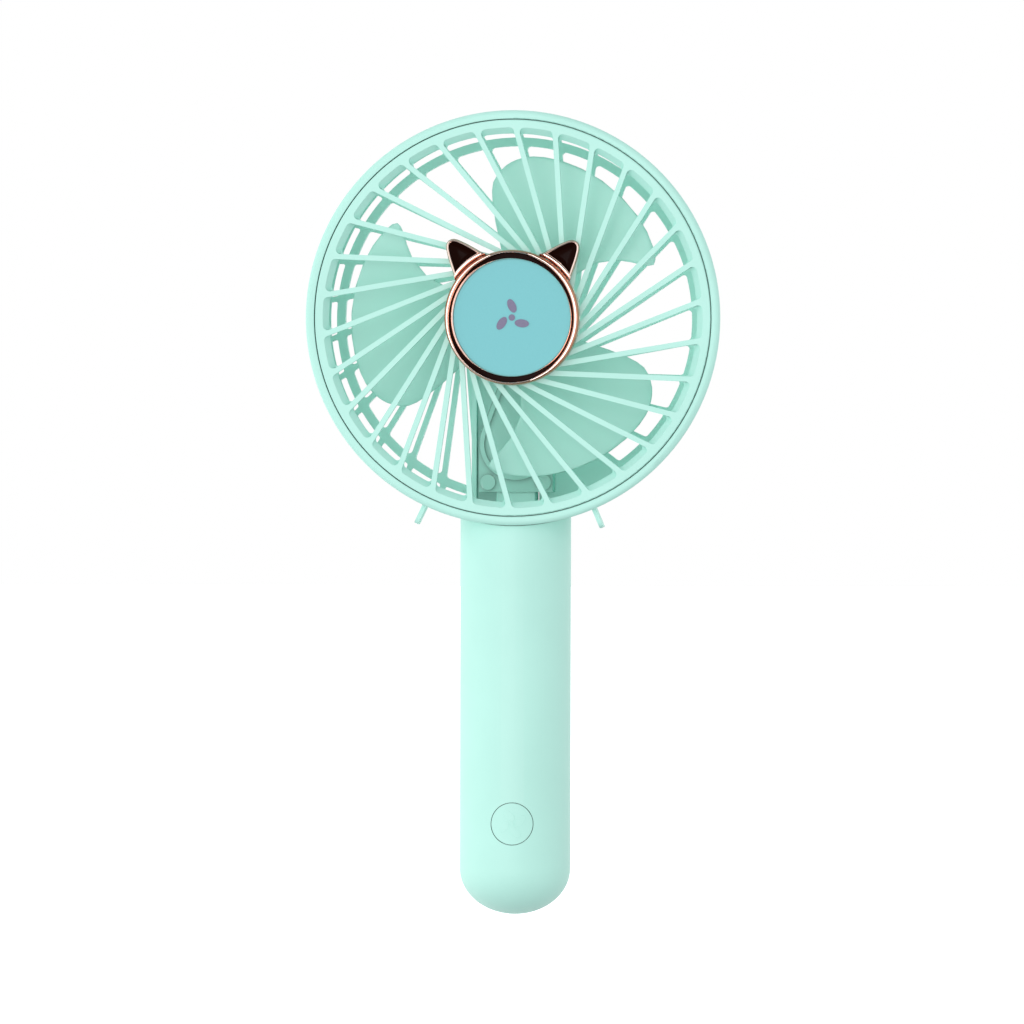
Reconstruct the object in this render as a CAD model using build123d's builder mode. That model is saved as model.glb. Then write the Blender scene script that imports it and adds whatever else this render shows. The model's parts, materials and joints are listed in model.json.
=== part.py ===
"""Folding handheld fan: a round head with a cat-ear badge on a straight handle.

Millimetres. +X is right and -Y is the front, where the air comes out. +Z runs up the handle, and
the origin is on the handle's axis in the middle of the grip.
"""
from build123d import *
from math import atan2, cos, degrees, radians, sin
import os

os.makedirs("parts", exist_ok=True)

# ---- Driving dimensions ----------------------------------------------------------------------
# Handle
HANDLE_R = 13.9
HANDLE_WALL = 1.8
HANDLE_BOTTOM = -55.6
HANDLE_END_H = 11.5          # height of the elliptical end
HANDLE_TOP_GAP = 0.12        # between the handle's saddle and the rim
SADDLE_TAPER = 1.0           # the saddle rises toward the back, under the head's taper
BORE_R = HANDLE_R - HANDLE_WALL
END_Z = HANDLE_BOTTOM + HANDLE_END_H

# Head: heights in its own frame, measured along its axis, positive toward the front
HEAD_Z = 94.0                # the head's axis above the origin
RIM_R = 52.0
REAR_R = 50.5                # the side wall tapers to this at the back
SEAT_R = 49.75               # recess in the rim for the front grille
COVER_R = 49.55
INNER_R = 48.4
FACE = 16.0                  # front plane of the head
BACK = -13.0                 # rear plane
GRILLE_T = 2.0
REAR_GRILLE_T = 3.5

# Grilles: straight spokes, each tangent to a circle about the axis
SPOKES = 30
SPOKE_W = 1.3
SWEEP_R = 13.4
SPOKE_START = 3.6            # degrees, where the first spoke touches the sweep circle
REAR_START = 4.4             # the same for the rear grille
WINDOW_R = 46.1
BEVEL_R = 47.6
RING_IN_R = 43.8
RING_OUT_R = 45.95
SLOT_OUT_R = 48.3
SOLID_FROM = 250.8           # degrees: the windows of the rear grille between these two stay closed
SOLID_TO = 300.8
SLOT_LAG = 6.4               # degrees, how far the sweep turns the outer slots on from the windows
WINDOW_CORNER_IN = 0.25
WINDOW_CORNER_OUT = 0.9
SLOT_CORNER = 0.5
BEVEL_CORNER = 1.2
STAY_X = -10.8               # a wall stands on the closed part of the rear grille, beside the hinge
STAY_T = 1.2
STAY_TOP = -4.0
STAY_BOTTOM_V = -47.0
STAY_TOP_V = -9.0

# Motor cup
CUP_R = 14.0
CUP_BORE = 12.3
FLANGE_TOP = 3.8
FLANGE_T = 1.2
CAP_T = 1.8
CAP_EDGE = 0.6

# Motor, along the head's axis
MOTOR_R = 12.2
MOTOR_BACK = -9.7
MOTOR_FRONT = FLANGE_TOP - FLANGE_T
MOTOR_WALL = 0.8
MOTOR_NOSE_R = 3.0
MOTOR_NOSE_L = 1.0
MOTOR_NOSE_GAP = 0.3
MOTOR_SCREW_R = 8.0          # distance of the two screws from the axis
MOTOR_SCREW_SHANK = 0.85
END_CAP_T = 1.5
BUSH_R = 2.2
SHAFT_R = 1.0
SHAFT_FIT = 0.04
SHAFT_BACK = MOTOR_BACK + 0.2
SHAFT_TOP = 11.6
TERMINAL_R = 6.0
TERMINAL_W = 1.6
TERMINAL_T = 0.4
TERMINAL_OUT = 1.2
MAGNET_R = 9.7
MAGNET_SPLIT = 8.0
MAGNET_L = 7.6
MAGNET_BACK = MOTOR_BACK + END_CAP_T + 0.6
COMMUTATOR_R = 2.4
COMMUTATOR_L = 1.8
COMMUTATOR_BACK = MOTOR_BACK + END_CAP_T + 0.1
BRUSH_T = 0.9
BRUSH_W = 1.6
BRUSH_IN = COMMUTATOR_R + 0.06
BRUSH_OUT = TERMINAL_R + TERMINAL_T / 2
POLES = 3
POLE_START = 90 + 180 / POLES
POLE_GAP = 1.6
ARMATURE_R = 9.1
CORE_L = 5.6
CORE_BACK = -5.4
WINDING_R = 5.9              # distance of the three winding slots from the shaft
WINDING_D = 3.6
WINDING_W = 8.4
WINDING_CORNER = 0.8
WINDING_CLEAR = 0.1
WINDING_OVER = 0.5
LEAD_R = 0.3
LEAD_SPREAD = 0.38           # half the distance between two leads
LEAD_SPACE = 1.3
LEAD_BEND = 0.5

# Hinge
PIVOT_Y = 6.6
PIVOT_Z = 62.5
NECK_HALF_W = 5.0
NECK_R = 6.3                 # half the neck's thickness and the radius of its top
SLOT_CLEAR = 0.3
NECK_FIT = 0.05
PIN_R = 2.0
PIN_BORE = 1.3
PIN_FIT = 0.05
CHEEK_OUT = 6.6
CHEEK_H = 6.8
HOUSING_FLOOR = 1.5
COVER_SCREW_X = 7.0
COVER_SCREW_DROP = 9.6       # below the pivot
COVER_SCREW_SHANK = 0.8
COVER_SCREW_TIP = 1.2
COVER_POST_R = 1.6
COVER_BOSS_R = 1.9           # round bosses on the cover's front take the screws' ends
COVER_BOSS_H = 0.7
RIDGE_T = 0.8                # raised teardrop on the cover
RIDGE_IN = 1.4               # inset of the ridge's inner edge
RIDGE_OUT = 0.3
FINGER_T = 1.1
FINGER_GAP = 0.1
WASHER_R = 3.6
WASHER_T = 0.2
HOUSING_R = 9.3
HOUSING_WALL = 1.1
HOUSING_TOP_R = 2.9
HOUSING_TOP = -13.0          # height of the small end of the teardrop, from the head's axis
APRON = 12.0                 # how far the housing runs below the pivot
COVER_T = 1.2

# Feet on the rim
FOOT_ANGLES = (244.7, 293.0)  # degrees
FOOT_T = 1.0
FOOT_L = 9.0
FOOT_FRONT = 13.0            # height of a foot's front edge
FOOT_ROOT_R = RIM_R - 1.2
FOOT_TIP_R = 56.9
FOOT_CORNER = 1.5

# Impeller
BLADES = 3
BLADE_R = 41.2
BLADE_T = 1.1
HUB_R = 14.5
HUB_TOP = 12.8
HUB_BOTTOM = 4.6
HUB_WALL = 1.3
HUB_EDGE = 1.0
BOSS_R = 3.2
BOSS_BOTTOM = 5.4
BLADE_ROOT_R = HUB_R - 0.5   # the blades run this far into the hub's wall
BLADE_LEAD = 4.35            # height of a blade's leading edge, at the back
BLADE_TRAIL = 12.15          # height of its trailing edge
LEAD_ANGLE = 101.0           # degrees
TRAIL_ANGLE = 19.0
BLADE_TURN = 1.0             # degrees, the whole impeller at rest

# Badge
BADGE_R = 16.9
BADGE_EDGE = 0.9
BADGE_SLOPE = 0.85           # width of the ring's slope down to the disc
DISC_R = 14.6
DISC_FIT = 0.05
BADGE_TOP = 20.3
DISC_TOP = 19.0
EAR_TIP_R = 26.9             # before it is rounded
EAR_ANGLES = (49.5, 129.5)
EAR_HALF_BASE = 23.0         # degrees
EAR_BASE_R = BADGE_R - 1.5
EAR_SHOULDER_R = 21.4
EAR_SHOULDER = 8.3           # degrees
EAR_SHOULDER_ROUND = 7.0
EAR_CORNER = 2.0
EAR_LIFT = 0.2               # the ears clear the spokes by this
EAR_T = 2.8
EAR_BORDER = 0.75
EAR_RECESS = 0.9
EAR_RECESS_R = BADGE_R + 1.3
EAR_INSERT_T = 0.5
SEAT_LIP_R = 13.4
DISC_T = 1.2
GRILLE_HUB_R = 16.6
GRILLE_TAB_R = 47.5
GRILLE_TAB_L = 2.5
GRILLE_TAB_T = 1.3
GRILLE_TAB_W = 8.0
GRILLE_EDGE = 0.3
MARK_T = 0.15
MARK_HUB_R = 0.8
MARK_PETAL_OFF = 2.9
MARK_PETAL_L = 3.6
MARK_PETAL_W = 2.0
MARK_TWIST = 25.0

# Button and switch
BUTTON_Z = -32.6
BUTTON_R = 5.2
BUTTON_GAP = 0.17
FLANGE_FRONT = -11.2
BUTTON_FLANGE_R = 6.1
BUTTON_FLANGE_T = 0.8
BUTTON_FACE_R = 13.8         # the button's face is round like the handle
ICON_FACE_R = 13.88
ICON_HUB_R = 0.45
ICON_PETAL_OFF = 2.2
ICON_PETAL_L = 3.4
ICON_PETAL_W = 1.9
ICON_TWIST = 28.0
ICON_START = 20.0
STEM_R = 1.5
STEM_BACK = -8.75
STEM_FIT = 0.05
SWITCH_FRONT = -9.7
SWITCH_W = 6.0
SWITCH_CORNER = 0.4
SWITCH_BASE = 0.2

# Neck root and handle screws
ROOT_TOP = 39.7
ROOT_BOTTOM = 34.0
ROOT_DEPTH = 6.0             # half its thickness front to back
ROOT_HALF_W = 10.5
TOP_SCREW_X = 8.0
TOP_SCREW_Z = 36.9
TOP_SCREW_SEAT = 8.2
END_SCREW_Z = -49.6
END_SCREW_SEAT = 7.4
SCREW_R = 1.0
SCREW_HEAD_R = 1.9
SCREW_HEAD_H = 1.3
SMALL_HEAD_R = 1.5           # heads of the motor's and the cover's screws
SMALL_HEAD_H = 0.9
SCREW_CLEAR = 0.1
SCREW_BOSS_R = 2.5
SCREW_TIP = -8.2
WIRE_DUCT_R = 1.4
POWER_LEAD_Z = 31.2

# Battery and boards
CELL_R = 9.2
CELL_L = 65.2
CELL_Y = 2.4
CELL_BOTTOM = -37.1
PAD_T = 0.5
PAD_L = 6.0
PAD_HEIGHTS = (-32.0, 16.0)
CELL_EDGE = 0.6
TAB_T = 0.3
TAB_W = 12.0
TAB_L = 7.0
TAB_Y = CELL_Y - 1.5
BOARD_FRONT = -8.0
BOARD_T = 1.0
BOARD_W = 15.4
BOARD_BOTTOM = -42.0
BOARD_TOP = -4.0
USB_BOARD_Z = -45.2
USB_W = 8.94
USB_H = 3.26
USB_L = 7.35
USB_FACE = 13.0
USB_CLEAR = 0.15
USB_WALL = 0.35
USB_BOARD_W = 15.0
USB_BOARD_FRONT = -6.0
USB_BOARD_BACK = 9.0
TONGUE_W = 6.7
TONGUE_T = 0.7
TONGUE_L = 6.0
LEDGE_X = 8.6
LEDGE_Y = 4.0
LEDGE_W = 5.0
LEDGE_T = 1.5
LED_BACK = 7.2
LED_FACE = 11.7
LED_BASE_L = 1.6
LED_X = 6.6
LED_R = 0.9
LED_CLEAR = 0.05
USB_Z = USB_BOARD_Z + BOARD_T + USB_H / 2

BOARD_SCREW_X = 5.6
BOARD_SCREW_Z = -8.0
BOARD_SCREW_R = 0.7
BOARD_SCREW_L = 3.5
BOARD_HEAD_R = 1.3
BOARD_HEAD_H = 0.7
BOARD_POST_R = 1.8

# Frames
HEAD = Plane(origin=(0, 0, HEAD_Z), x_dir=(1, 0, 0), z_dir=(0, -1, 0))
HEAD_SECTION = Plane(origin=(0, 0, HEAD_Z), x_dir=(1, 0, 0), z_dir=(0, 0, 1))
REAR_VIEW = Plane(origin=(0, 0, 0), x_dir=(-1, 0, 0), z_dir=(0, 1, 0))
HEAD_AXIS = Axis((0, 0, HEAD_Z), (0, 1, 0))
PIVOT = Plane(origin=(0, PIVOT_Y, PIVOT_Z), x_dir=(0, 1, 0), z_dir=(1, 0, 0))
PIVOT_V = PIVOT_Z - HEAD_Z   # the pivot's height in the head's frame
COVER_SCREW_V = PIVOT_V - COVER_SCREW_DROP
COVER_SCREW_Z = PIVOT_Z - COVER_SCREW_DROP


def polar(radius, angle):
    """Point at a radius and an angle in degrees."""
    return (radius * cos(radians(angle)), radius * sin(radians(angle)))


def face_angle(face):
    """Direction of a face's centre, in degrees from 0 to 360."""
    return degrees(atan2(face.center().Y, face.center().X)) % 360


def swept_windows(start, inner, outer, corner_in, corner_out, closed=(0, 0)):
    """Openings between straight swept spokes, but for those that lie in the closed range."""
    with BuildSketch() as windows:
        Circle(outer)
        Circle(inner, mode=Mode.SUBTRACT)
        with PolarLocations(0, SPOKES, start_angle=start):
            with Locations((SWEEP_R, RIM_R / 2)):
                Rectangle(SPOKE_W, RIM_R, mode=Mode.SUBTRACT)
        middle = (inner + outer) / 2
        near = windows.vertices().filter_by(lambda v: v.X**2 + v.Y**2 < middle**2)
        fillet(near, corner_in)
        far = windows.vertices().filter_by(lambda v: v.X**2 + v.Y**2 > (outer - 0.2) ** 2)
        fillet(far, corner_out)
    return [f for f in windows.faces() if not closed[0] < face_angle(f) < closed[1]]


def teardrop(inset):
    """The round part of the hinge housing alone."""
    with BuildSketch() as outline:
        with Locations((0, PIVOT_V)):
            Circle(HOUSING_R - inset)
        with Locations((0, HOUSING_TOP)):
            Circle(HOUSING_TOP_R - inset)
        make_hull()
    return outline.sketch


def hinge_outline(inset):
    """Teardrop about the pivot, narrowing up to the motor cup, with a square apron below."""
    with BuildSketch() as outline:
        add(teardrop(inset))
        with Locations((0, PIVOT_V)):
            Rectangle(2 * (HOUSING_R - inset), APRON - inset, align=(Align.CENTER, Align.MAX))
    return outline.sketch


def ear_outline(angle, inset):
    """Rounded triangle standing on the badge ring, its tip at an angle on the head."""
    with BuildSketch() as outline:
        with BuildLine():
            FilletPolyline(
                polar(EAR_BASE_R, angle - EAR_HALF_BASE),
                polar(EAR_SHOULDER_R, angle - EAR_SHOULDER),
                polar(EAR_TIP_R, angle),
                polar(EAR_SHOULDER_R, angle + EAR_SHOULDER),
                polar(EAR_BASE_R, angle + EAR_HALF_BASE),
                radius=(0, EAR_SHOULDER_ROUND, EAR_CORNER, EAR_SHOULDER_ROUND, 0),
                close=True,
            )
        make_face()
        offset(amount=-inset)
    return outline.sketch


def neck_profile(clear, length):
    """Side view of the neck about the pivot: round top and flat flanks."""
    with BuildSketch() as profile:
        Circle(NECK_R + clear)
        Rectangle(2 * (NECK_R + clear), length, align=(Align.CENTER, Align.MAX))
    return profile.sketch


def wire(points, radius, bend):
    """Round wire along straight runs joined by arcs."""
    with BuildPart() as lead:
        with BuildLine() as route:
            FilletPolyline(*points, radius=bend)
        with BuildSketch(Plane(origin=route.line @ 0, z_dir=route.line % 0)):
            Circle(radius)
        sweep(path=route.line)
    return lead.part


def screw(head_r, head_h, shank_r, length):
    """Pan-head screw with a cross recess, its head's seat at the origin and its shank along -Z."""
    with BuildPart() as fastener:
        Cylinder(head_r, head_h, align=(Align.CENTER, Align.CENTER, Align.MIN))
        fillet(fastener.edges().group_by(Axis.Z)[-1], head_h * 0.4)
        Cylinder(shank_r, length, align=(Align.CENTER, Align.CENTER, Align.MAX))
        with Locations((0, 0, head_h)):
            Box(head_r * 1.1, head_r * 0.28, head_h, mode=Mode.SUBTRACT)
            Box(head_r * 0.28, head_r * 1.1, head_h, mode=Mode.SUBTRACT)
    return fastener.part


# ---- Head: rear shell --------------------------------------------------------------------------
closed_windows = (SOLID_FROM, SOLID_TO)
closed_slots = (SOLID_FROM + SLOT_LAG, SOLID_TO + SLOT_LAG)
with BuildPart() as rear_shell:
    with BuildSketch(HEAD_SECTION):
        with BuildLine():
            FilletPolyline(
                (SEAT_R, -FACE),
                (RIM_R, -FACE),
                (REAR_R, -BACK),
                (RING_IN_R, -BACK),
                (RING_IN_R, -BACK - REAR_GRILLE_T),
                (INNER_R, -BACK - REAR_GRILLE_T),
                (INNER_R, GRILLE_T - FACE),
                (SEAT_R, GRILLE_T - FACE),
                radius=(0.3, 1.3, 3.0, 0, 0, 1.0, 0, 0),
                close=True,
            )
        make_face()
    revolve(axis=HEAD_AXIS)
    with BuildSketch(HEAD.offset(BACK)):
        Circle(RING_OUT_R)
        Circle(CUP_BORE, mode=Mode.SUBTRACT)
    extrude(amount=REAR_GRILLE_T)
    with BuildSketch(HEAD.offset(BACK)):
        Circle(CUP_R)
        Circle(CUP_BORE, mode=Mode.SUBTRACT)
    extrude(amount=FLANGE_TOP - BACK)
    with BuildSketch(HEAD.offset(FLANGE_TOP - FLANGE_T)):
        Circle(CUP_R)
        Circle(MOTOR_NOSE_R + MOTOR_NOSE_GAP, mode=Mode.SUBTRACT)
        with PolarLocations(MOTOR_SCREW_R, 2):
            Circle(MOTOR_SCREW_SHANK, mode=Mode.SUBTRACT)
    extrude(amount=FLANGE_T)
    # Hinge housing: a tub behind the teardrop cover
    with BuildSketch(HEAD.offset(BACK)):
        add(hinge_outline(0))
        Circle(CUP_R - 0.5, mode=Mode.SUBTRACT)
    extrude(amount=-BACK)
    with BuildSketch(HEAD.offset(BACK + HOUSING_FLOOR)):
        add(hinge_outline(HOUSING_WALL))
        Circle(CUP_BORE, mode=Mode.SUBTRACT)
    extrude(amount=-BACK - HOUSING_FLOOR, mode=Mode.SUBTRACT)
    # Wall beside the housing
    with BuildSketch(HEAD.offset(BACK)):
        with Locations((STAY_X, STAY_BOTTOM_V)):
            Rectangle(STAY_T, STAY_TOP_V - STAY_BOTTOM_V, align=(Align.CENTER, Align.MIN))
        Circle(CUP_R - 0.5, mode=Mode.SUBTRACT)
    extrude(amount=STAY_TOP - BACK)
    # Cheeks that carry the pin
    with BuildSketch(PIVOT.offset(-CHEEK_OUT)):
        with Locations((-PIVOT_Y, 0)):
            Rectangle(-BACK, CHEEK_H, align=(Align.MIN, Align.CENTER))
    extrude(amount=2 * CHEEK_OUT)
    # Openings of the rear grille
    with BuildSketch(HEAD.offset(BACK)):
        add(swept_windows(REAR_START, CUP_R, RING_IN_R, WINDOW_CORNER_IN, WINDOW_CORNER_OUT, closed_windows))
        add(swept_windows(REAR_START, RING_OUT_R, SLOT_OUT_R, SLOT_CORNER, SLOT_CORNER, closed_slots))
    extrude(amount=REAR_GRILLE_T, mode=Mode.SUBTRACT)
    # Slot for the neck: it is open down and to the back, so that the head can tip back
    with BuildSketch(PIVOT.offset(-NECK_HALF_W - SLOT_CLEAR)):
        add(neck_profile(SLOT_CLEAR, PIVOT_Z))
        add(neck_profile(SLOT_CLEAR, PIVOT_Z), rotation=90)
    extrude(amount=2 * (NECK_HALF_W + SLOT_CLEAR), mode=Mode.SUBTRACT)
    # Bores for the pin, open to the front under the cover's fingers
    with BuildSketch(PIVOT.offset(-CHEEK_OUT)):
        Circle(PIN_R + PIN_FIT)
        with Locations((-PIVOT_Y, 0)):
            Rectangle(PIVOT_Y, 2 * (PIN_R + PIN_FIT), align=(Align.MIN, Align.CENTER))
    extrude(amount=2 * CHEEK_OUT, mode=Mode.SUBTRACT)
    # Way for the motor leads, from behind the motor down to the end of the pin
    with BuildSketch(HEAD.offset(BACK + HOUSING_FLOOR)):
        with Locations((0, -CUP_BORE + 0.5)):
            Rectangle(2 * LEAD_SPACE, CUP_R, align=(Align.CENTER, Align.MAX))
    extrude(amount=LEAD_SPACE, mode=Mode.SUBTRACT)
    # Posts for the cover's screws, which are sunk from the back
    with BuildSketch(HEAD.offset(BACK + HOUSING_FLOOR)):
        with Locations((COVER_SCREW_X, COVER_SCREW_V), (-COVER_SCREW_X, COVER_SCREW_V)):
            Circle(COVER_POST_R)
    extrude(amount=-BACK - HOUSING_FLOOR)
    with BuildSketch(HEAD.offset(BACK)):
        with Locations((COVER_SCREW_X, COVER_SCREW_V), (-COVER_SCREW_X, COVER_SCREW_V)):
            Circle(COVER_SCREW_SHANK)
    extrude(amount=-BACK, mode=Mode.SUBTRACT)
    with BuildSketch(HEAD.offset(BACK)):
        with Locations((COVER_SCREW_X, COVER_SCREW_V), (-COVER_SCREW_X, COVER_SCREW_V)):
            Circle(SMALL_HEAD_R + SCREW_CLEAR)
    extrude(amount=SMALL_HEAD_H, mode=Mode.SUBTRACT)
    # Anti-roll feet
    for angle in FOOT_ANGLES:
        out = radians(angle)
        foot_plane = Plane(
            origin=(0, 0, HEAD_Z),
            x_dir=(cos(out), 0, sin(out)),
            z_dir=(-sin(out), 0, cos(out)),
        )
        with BuildSketch(foot_plane) as foot:
            with Locations((FOOT_ROOT_R, -FOOT_FRONT)):
                Rectangle(FOOT_TIP_R - FOOT_ROOT_R, FOOT_L, align=Align.MIN)
            fillet(foot.vertices().group_by(Axis.X)[-1], FOOT_CORNER)
        extrude(amount=FOOT_T / 2, both=True)
rear_shell.part.label = "rear_shell"
export_step(rear_shell.part, "parts/rear_shell.step")


# ---- Head: front grille ------------------------------------------------------------------------
# The grille ring's inner edge slopes back between the spokes
with BuildPart() as ring_slope:
    with BuildSketch(HEAD_SECTION):
        Polygon(
            (WINDOW_R - 1, -FACE),
            (BEVEL_R, -FACE),
            (WINDOW_R, GRILLE_T - FACE - GRILLE_EDGE),
            (WINDOW_R - 1, GRILLE_T - FACE),
            align=None,
        )
    revolve(axis=HEAD_AXIS)
    with BuildSketch(HEAD.offset(FACE - GRILLE_T)):
        add(swept_windows(SPOKE_START, GRILLE_HUB_R, BEVEL_R, WINDOW_CORNER_IN, BEVEL_CORNER))
    extrude(amount=GRILLE_T, mode=Mode.INTERSECT)

with BuildPart() as front_grille:
    with BuildSketch(HEAD_SECTION):
        with BuildLine():
            FilletPolyline(
                (0, -FACE),
                (COVER_R, -FACE),
                (COVER_R, GRILLE_T - FACE),
                (0, GRILLE_T - FACE),
                radius=(0, GRILLE_EDGE, 0, 0),
                close=True,
            )
        make_face()
    revolve(axis=HEAD_AXIS)
    with BuildSketch(HEAD.offset(FACE - GRILLE_T)):
        add(swept_windows(SPOKE_START, GRILLE_HUB_R, WINDOW_R, WINDOW_CORNER_IN, WINDOW_CORNER_OUT))
    extrude(amount=GRILLE_T, mode=Mode.SUBTRACT)
    add(ring_slope.part, mode=Mode.SUBTRACT)
    # Tabs that centre the grille in the rim
    with BuildSketch(HEAD.offset(FACE - GRILLE_T)):
        with PolarLocations(GRILLE_TAB_R, 4, start_angle=45):
            Rectangle(GRILLE_TAB_T, GRILLE_TAB_W)
    extrude(amount=-GRILLE_TAB_L)
front_grille.part.label = "front_grille"
export_step(front_grille.part, "parts/front_grille.step")

# ---- Head: badge -------------------------------------------------------------------------------
with BuildPart() as badge_ring:
    with BuildSketch(HEAD_SECTION):
        with BuildLine():
            FilletPolyline(
                (SEAT_LIP_R, -FACE),
                (BADGE_R, -FACE),
                (BADGE_R, -BADGE_TOP),
                (DISC_R + DISC_FIT + BADGE_SLOPE, -BADGE_TOP),
                (DISC_R + DISC_FIT, -DISC_TOP),
                (DISC_R + DISC_FIT, DISC_T - DISC_TOP),
                (SEAT_LIP_R, DISC_T - DISC_TOP),
                radius=(0, 0, BADGE_EDGE, BADGE_EDGE / 2, 0, 0, 0),
                close=True,
            )
        make_face()
    revolve(axis=HEAD_AXIS)
    for angle in EAR_ANGLES:
        with BuildSketch(HEAD.offset(FACE + EAR_LIFT)):
            add(ear_outline(angle, 0))
            Circle(DISC_R + 1, mode=Mode.SUBTRACT)
        extrude(amount=EAR_T)
        with BuildSketch(HEAD.offset(FACE + EAR_LIFT + EAR_T)):
            add(ear_outline(angle, EAR_BORDER))
            Circle(EAR_RECESS_R, mode=Mode.SUBTRACT)
        extrude(amount=-EAR_RECESS, mode=Mode.SUBTRACT)
badge_ring.part.label = "badge_ring"
export_step(badge_ring.part, "parts/badge_ring.step")

with BuildPart() as ear_inserts:
    for angle in EAR_ANGLES:
        with BuildSketch(HEAD.offset(FACE + EAR_LIFT + EAR_T - EAR_RECESS)):
            add(ear_outline(angle, EAR_BORDER))
            Circle(EAR_RECESS_R, mode=Mode.SUBTRACT)
        extrude(amount=EAR_INSERT_T)
ear_inserts.part.label = "ear_inserts"
export_step(ear_inserts.part, "parts/ear_inserts.step")

with BuildPart() as badge_disc:
    with BuildSketch(HEAD.offset(DISC_TOP - DISC_T)):
        Circle(DISC_R)
    extrude(amount=DISC_T)
badge_disc.part.label = "badge_disc"
export_step(badge_disc.part, "parts/badge_disc.step")

with BuildPart() as badge_mark:
    with BuildSketch(HEAD.offset(DISC_TOP)):
        Circle(MARK_HUB_R)
        with PolarLocations(0, BLADES, start_angle=90):
            with Locations((MARK_PETAL_OFF, 0)):
                Ellipse(MARK_PETAL_L / 2, MARK_PETAL_W / 2, rotation=MARK_TWIST)
    extrude(amount=MARK_T)
badge_mark.part.label = "badge_mark"
export_step(badge_mark.part, "parts/badge_mark.step")

# ---- Head: motor -------------------------------------------------------------------------------
with BuildPart() as motor_can:
    with BuildSketch(HEAD.offset(MOTOR_BACK)):
        Circle(MOTOR_R)
    extrude(amount=MOTOR_FRONT - MOTOR_BACK)
    with BuildSketch(HEAD.offset(MOTOR_BACK)):
        Circle(MOTOR_R - MOTOR_WALL)
    extrude(amount=MOTOR_FRONT - MOTOR_BACK - MOTOR_WALL, mode=Mode.SUBTRACT)
    with BuildSketch(HEAD.offset(MOTOR_FRONT)):
        Circle(MOTOR_NOSE_R)
    extrude(amount=MOTOR_NOSE_L)
    with BuildSketch(HEAD.offset(MOTOR_FRONT + MOTOR_NOSE_L)):
        Circle(BUSH_R)
        with PolarLocations(MOTOR_SCREW_R, 2):
            Circle(MOTOR_SCREW_SHANK)
    extrude(amount=-MOTOR_NOSE_L - MOTOR_WALL, mode=Mode.SUBTRACT)
motor_can.part.label = "motor_can"
export_step(motor_can.part, "parts/motor_can.step")

with BuildPart() as motor_end_cap:
    with BuildSketch(HEAD.offset(MOTOR_BACK)):
        Circle(MOTOR_R - MOTOR_WALL)
        Circle(BUSH_R, mode=Mode.SUBTRACT)
        with PolarLocations(TERMINAL_R, 2):
            Rectangle(TERMINAL_T, TERMINAL_W, mode=Mode.SUBTRACT)
    extrude(amount=END_CAP_T)
motor_end_cap.part.label = "motor_end_cap"
export_step(motor_end_cap.part, "parts/motor_end_cap.step")

with BuildPart() as motor_magnets:
    with BuildSketch(HEAD.offset(MAGNET_BACK)):
        Circle(MOTOR_R - MOTOR_WALL)
        Circle(MAGNET_R, mode=Mode.SUBTRACT)
        Rectangle(2 * MOTOR_R, MAGNET_SPLIT, mode=Mode.SUBTRACT)
    extrude(amount=MAGNET_L)
motor_magnets.part.label = "motor_magnets"
export_step(motor_magnets.part, "parts/motor_magnets.step")

with BuildPart() as motor_bushes:
    with BuildSketch(HEAD.offset(MOTOR_BACK)):
        Circle(BUSH_R)
        Circle(SHAFT_R + SHAFT_FIT, mode=Mode.SUBTRACT)
    extrude(amount=END_CAP_T)
    with BuildSketch(HEAD.offset(MOTOR_FRONT + MOTOR_NOSE_L)):
        Circle(BUSH_R)
        Circle(SHAFT_R + SHAFT_FIT, mode=Mode.SUBTRACT)
    extrude(amount=-MOTOR_NOSE_L - MOTOR_WALL)
motor_bushes.part.label = "motor_bushes"
export_step(motor_bushes.part, "parts/motor_bushes.step")

with BuildPart() as motor_terminals:
    with BuildSketch(HEAD.offset(MOTOR_BACK - TERMINAL_OUT)):
        with PolarLocations(TERMINAL_R, 2):
            Rectangle(TERMINAL_T, TERMINAL_W)
    extrude(amount=TERMINAL_OUT + END_CAP_T)
motor_terminals.part.label = "motor_terminals"
export_step(motor_terminals.part, "parts/motor_terminals.step")

with BuildPart() as motor_brushes:
    with BuildSketch(HEAD.offset(MOTOR_BACK + END_CAP_T)):
        with PolarLocations((BRUSH_IN + BRUSH_OUT) / 2, 2):
            Rectangle(BRUSH_OUT - BRUSH_IN, BRUSH_W)
    extrude(amount=BRUSH_T)
motor_brushes.part.label = "motor_brushes"
export_step(motor_brushes.part, "parts/motor_brushes.step")

with BuildPart(HEAD.offset(FLANGE_TOP)) as motor_screws:
    with PolarLocations(MOTOR_SCREW_R, 2):
        add(screw(SMALL_HEAD_R, SMALL_HEAD_H, MOTOR_SCREW_SHANK, FLANGE_T + MOTOR_WALL))
motor_screws.part.label = "motor_screws"
export_step(motor_screws.part, "parts/motor_screws.step")

with BuildPart() as hub_cap:
    with BuildSketch(HEAD.offset(BACK)):
        Circle(CUP_BORE)
    extrude(amount=CAP_T)
    fillet(hub_cap.edges().group_by(Axis.Y)[-1], CAP_EDGE)
hub_cap.part.label = "hub_cap"
export_step(hub_cap.part, "parts/hub_cap.step")

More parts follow.
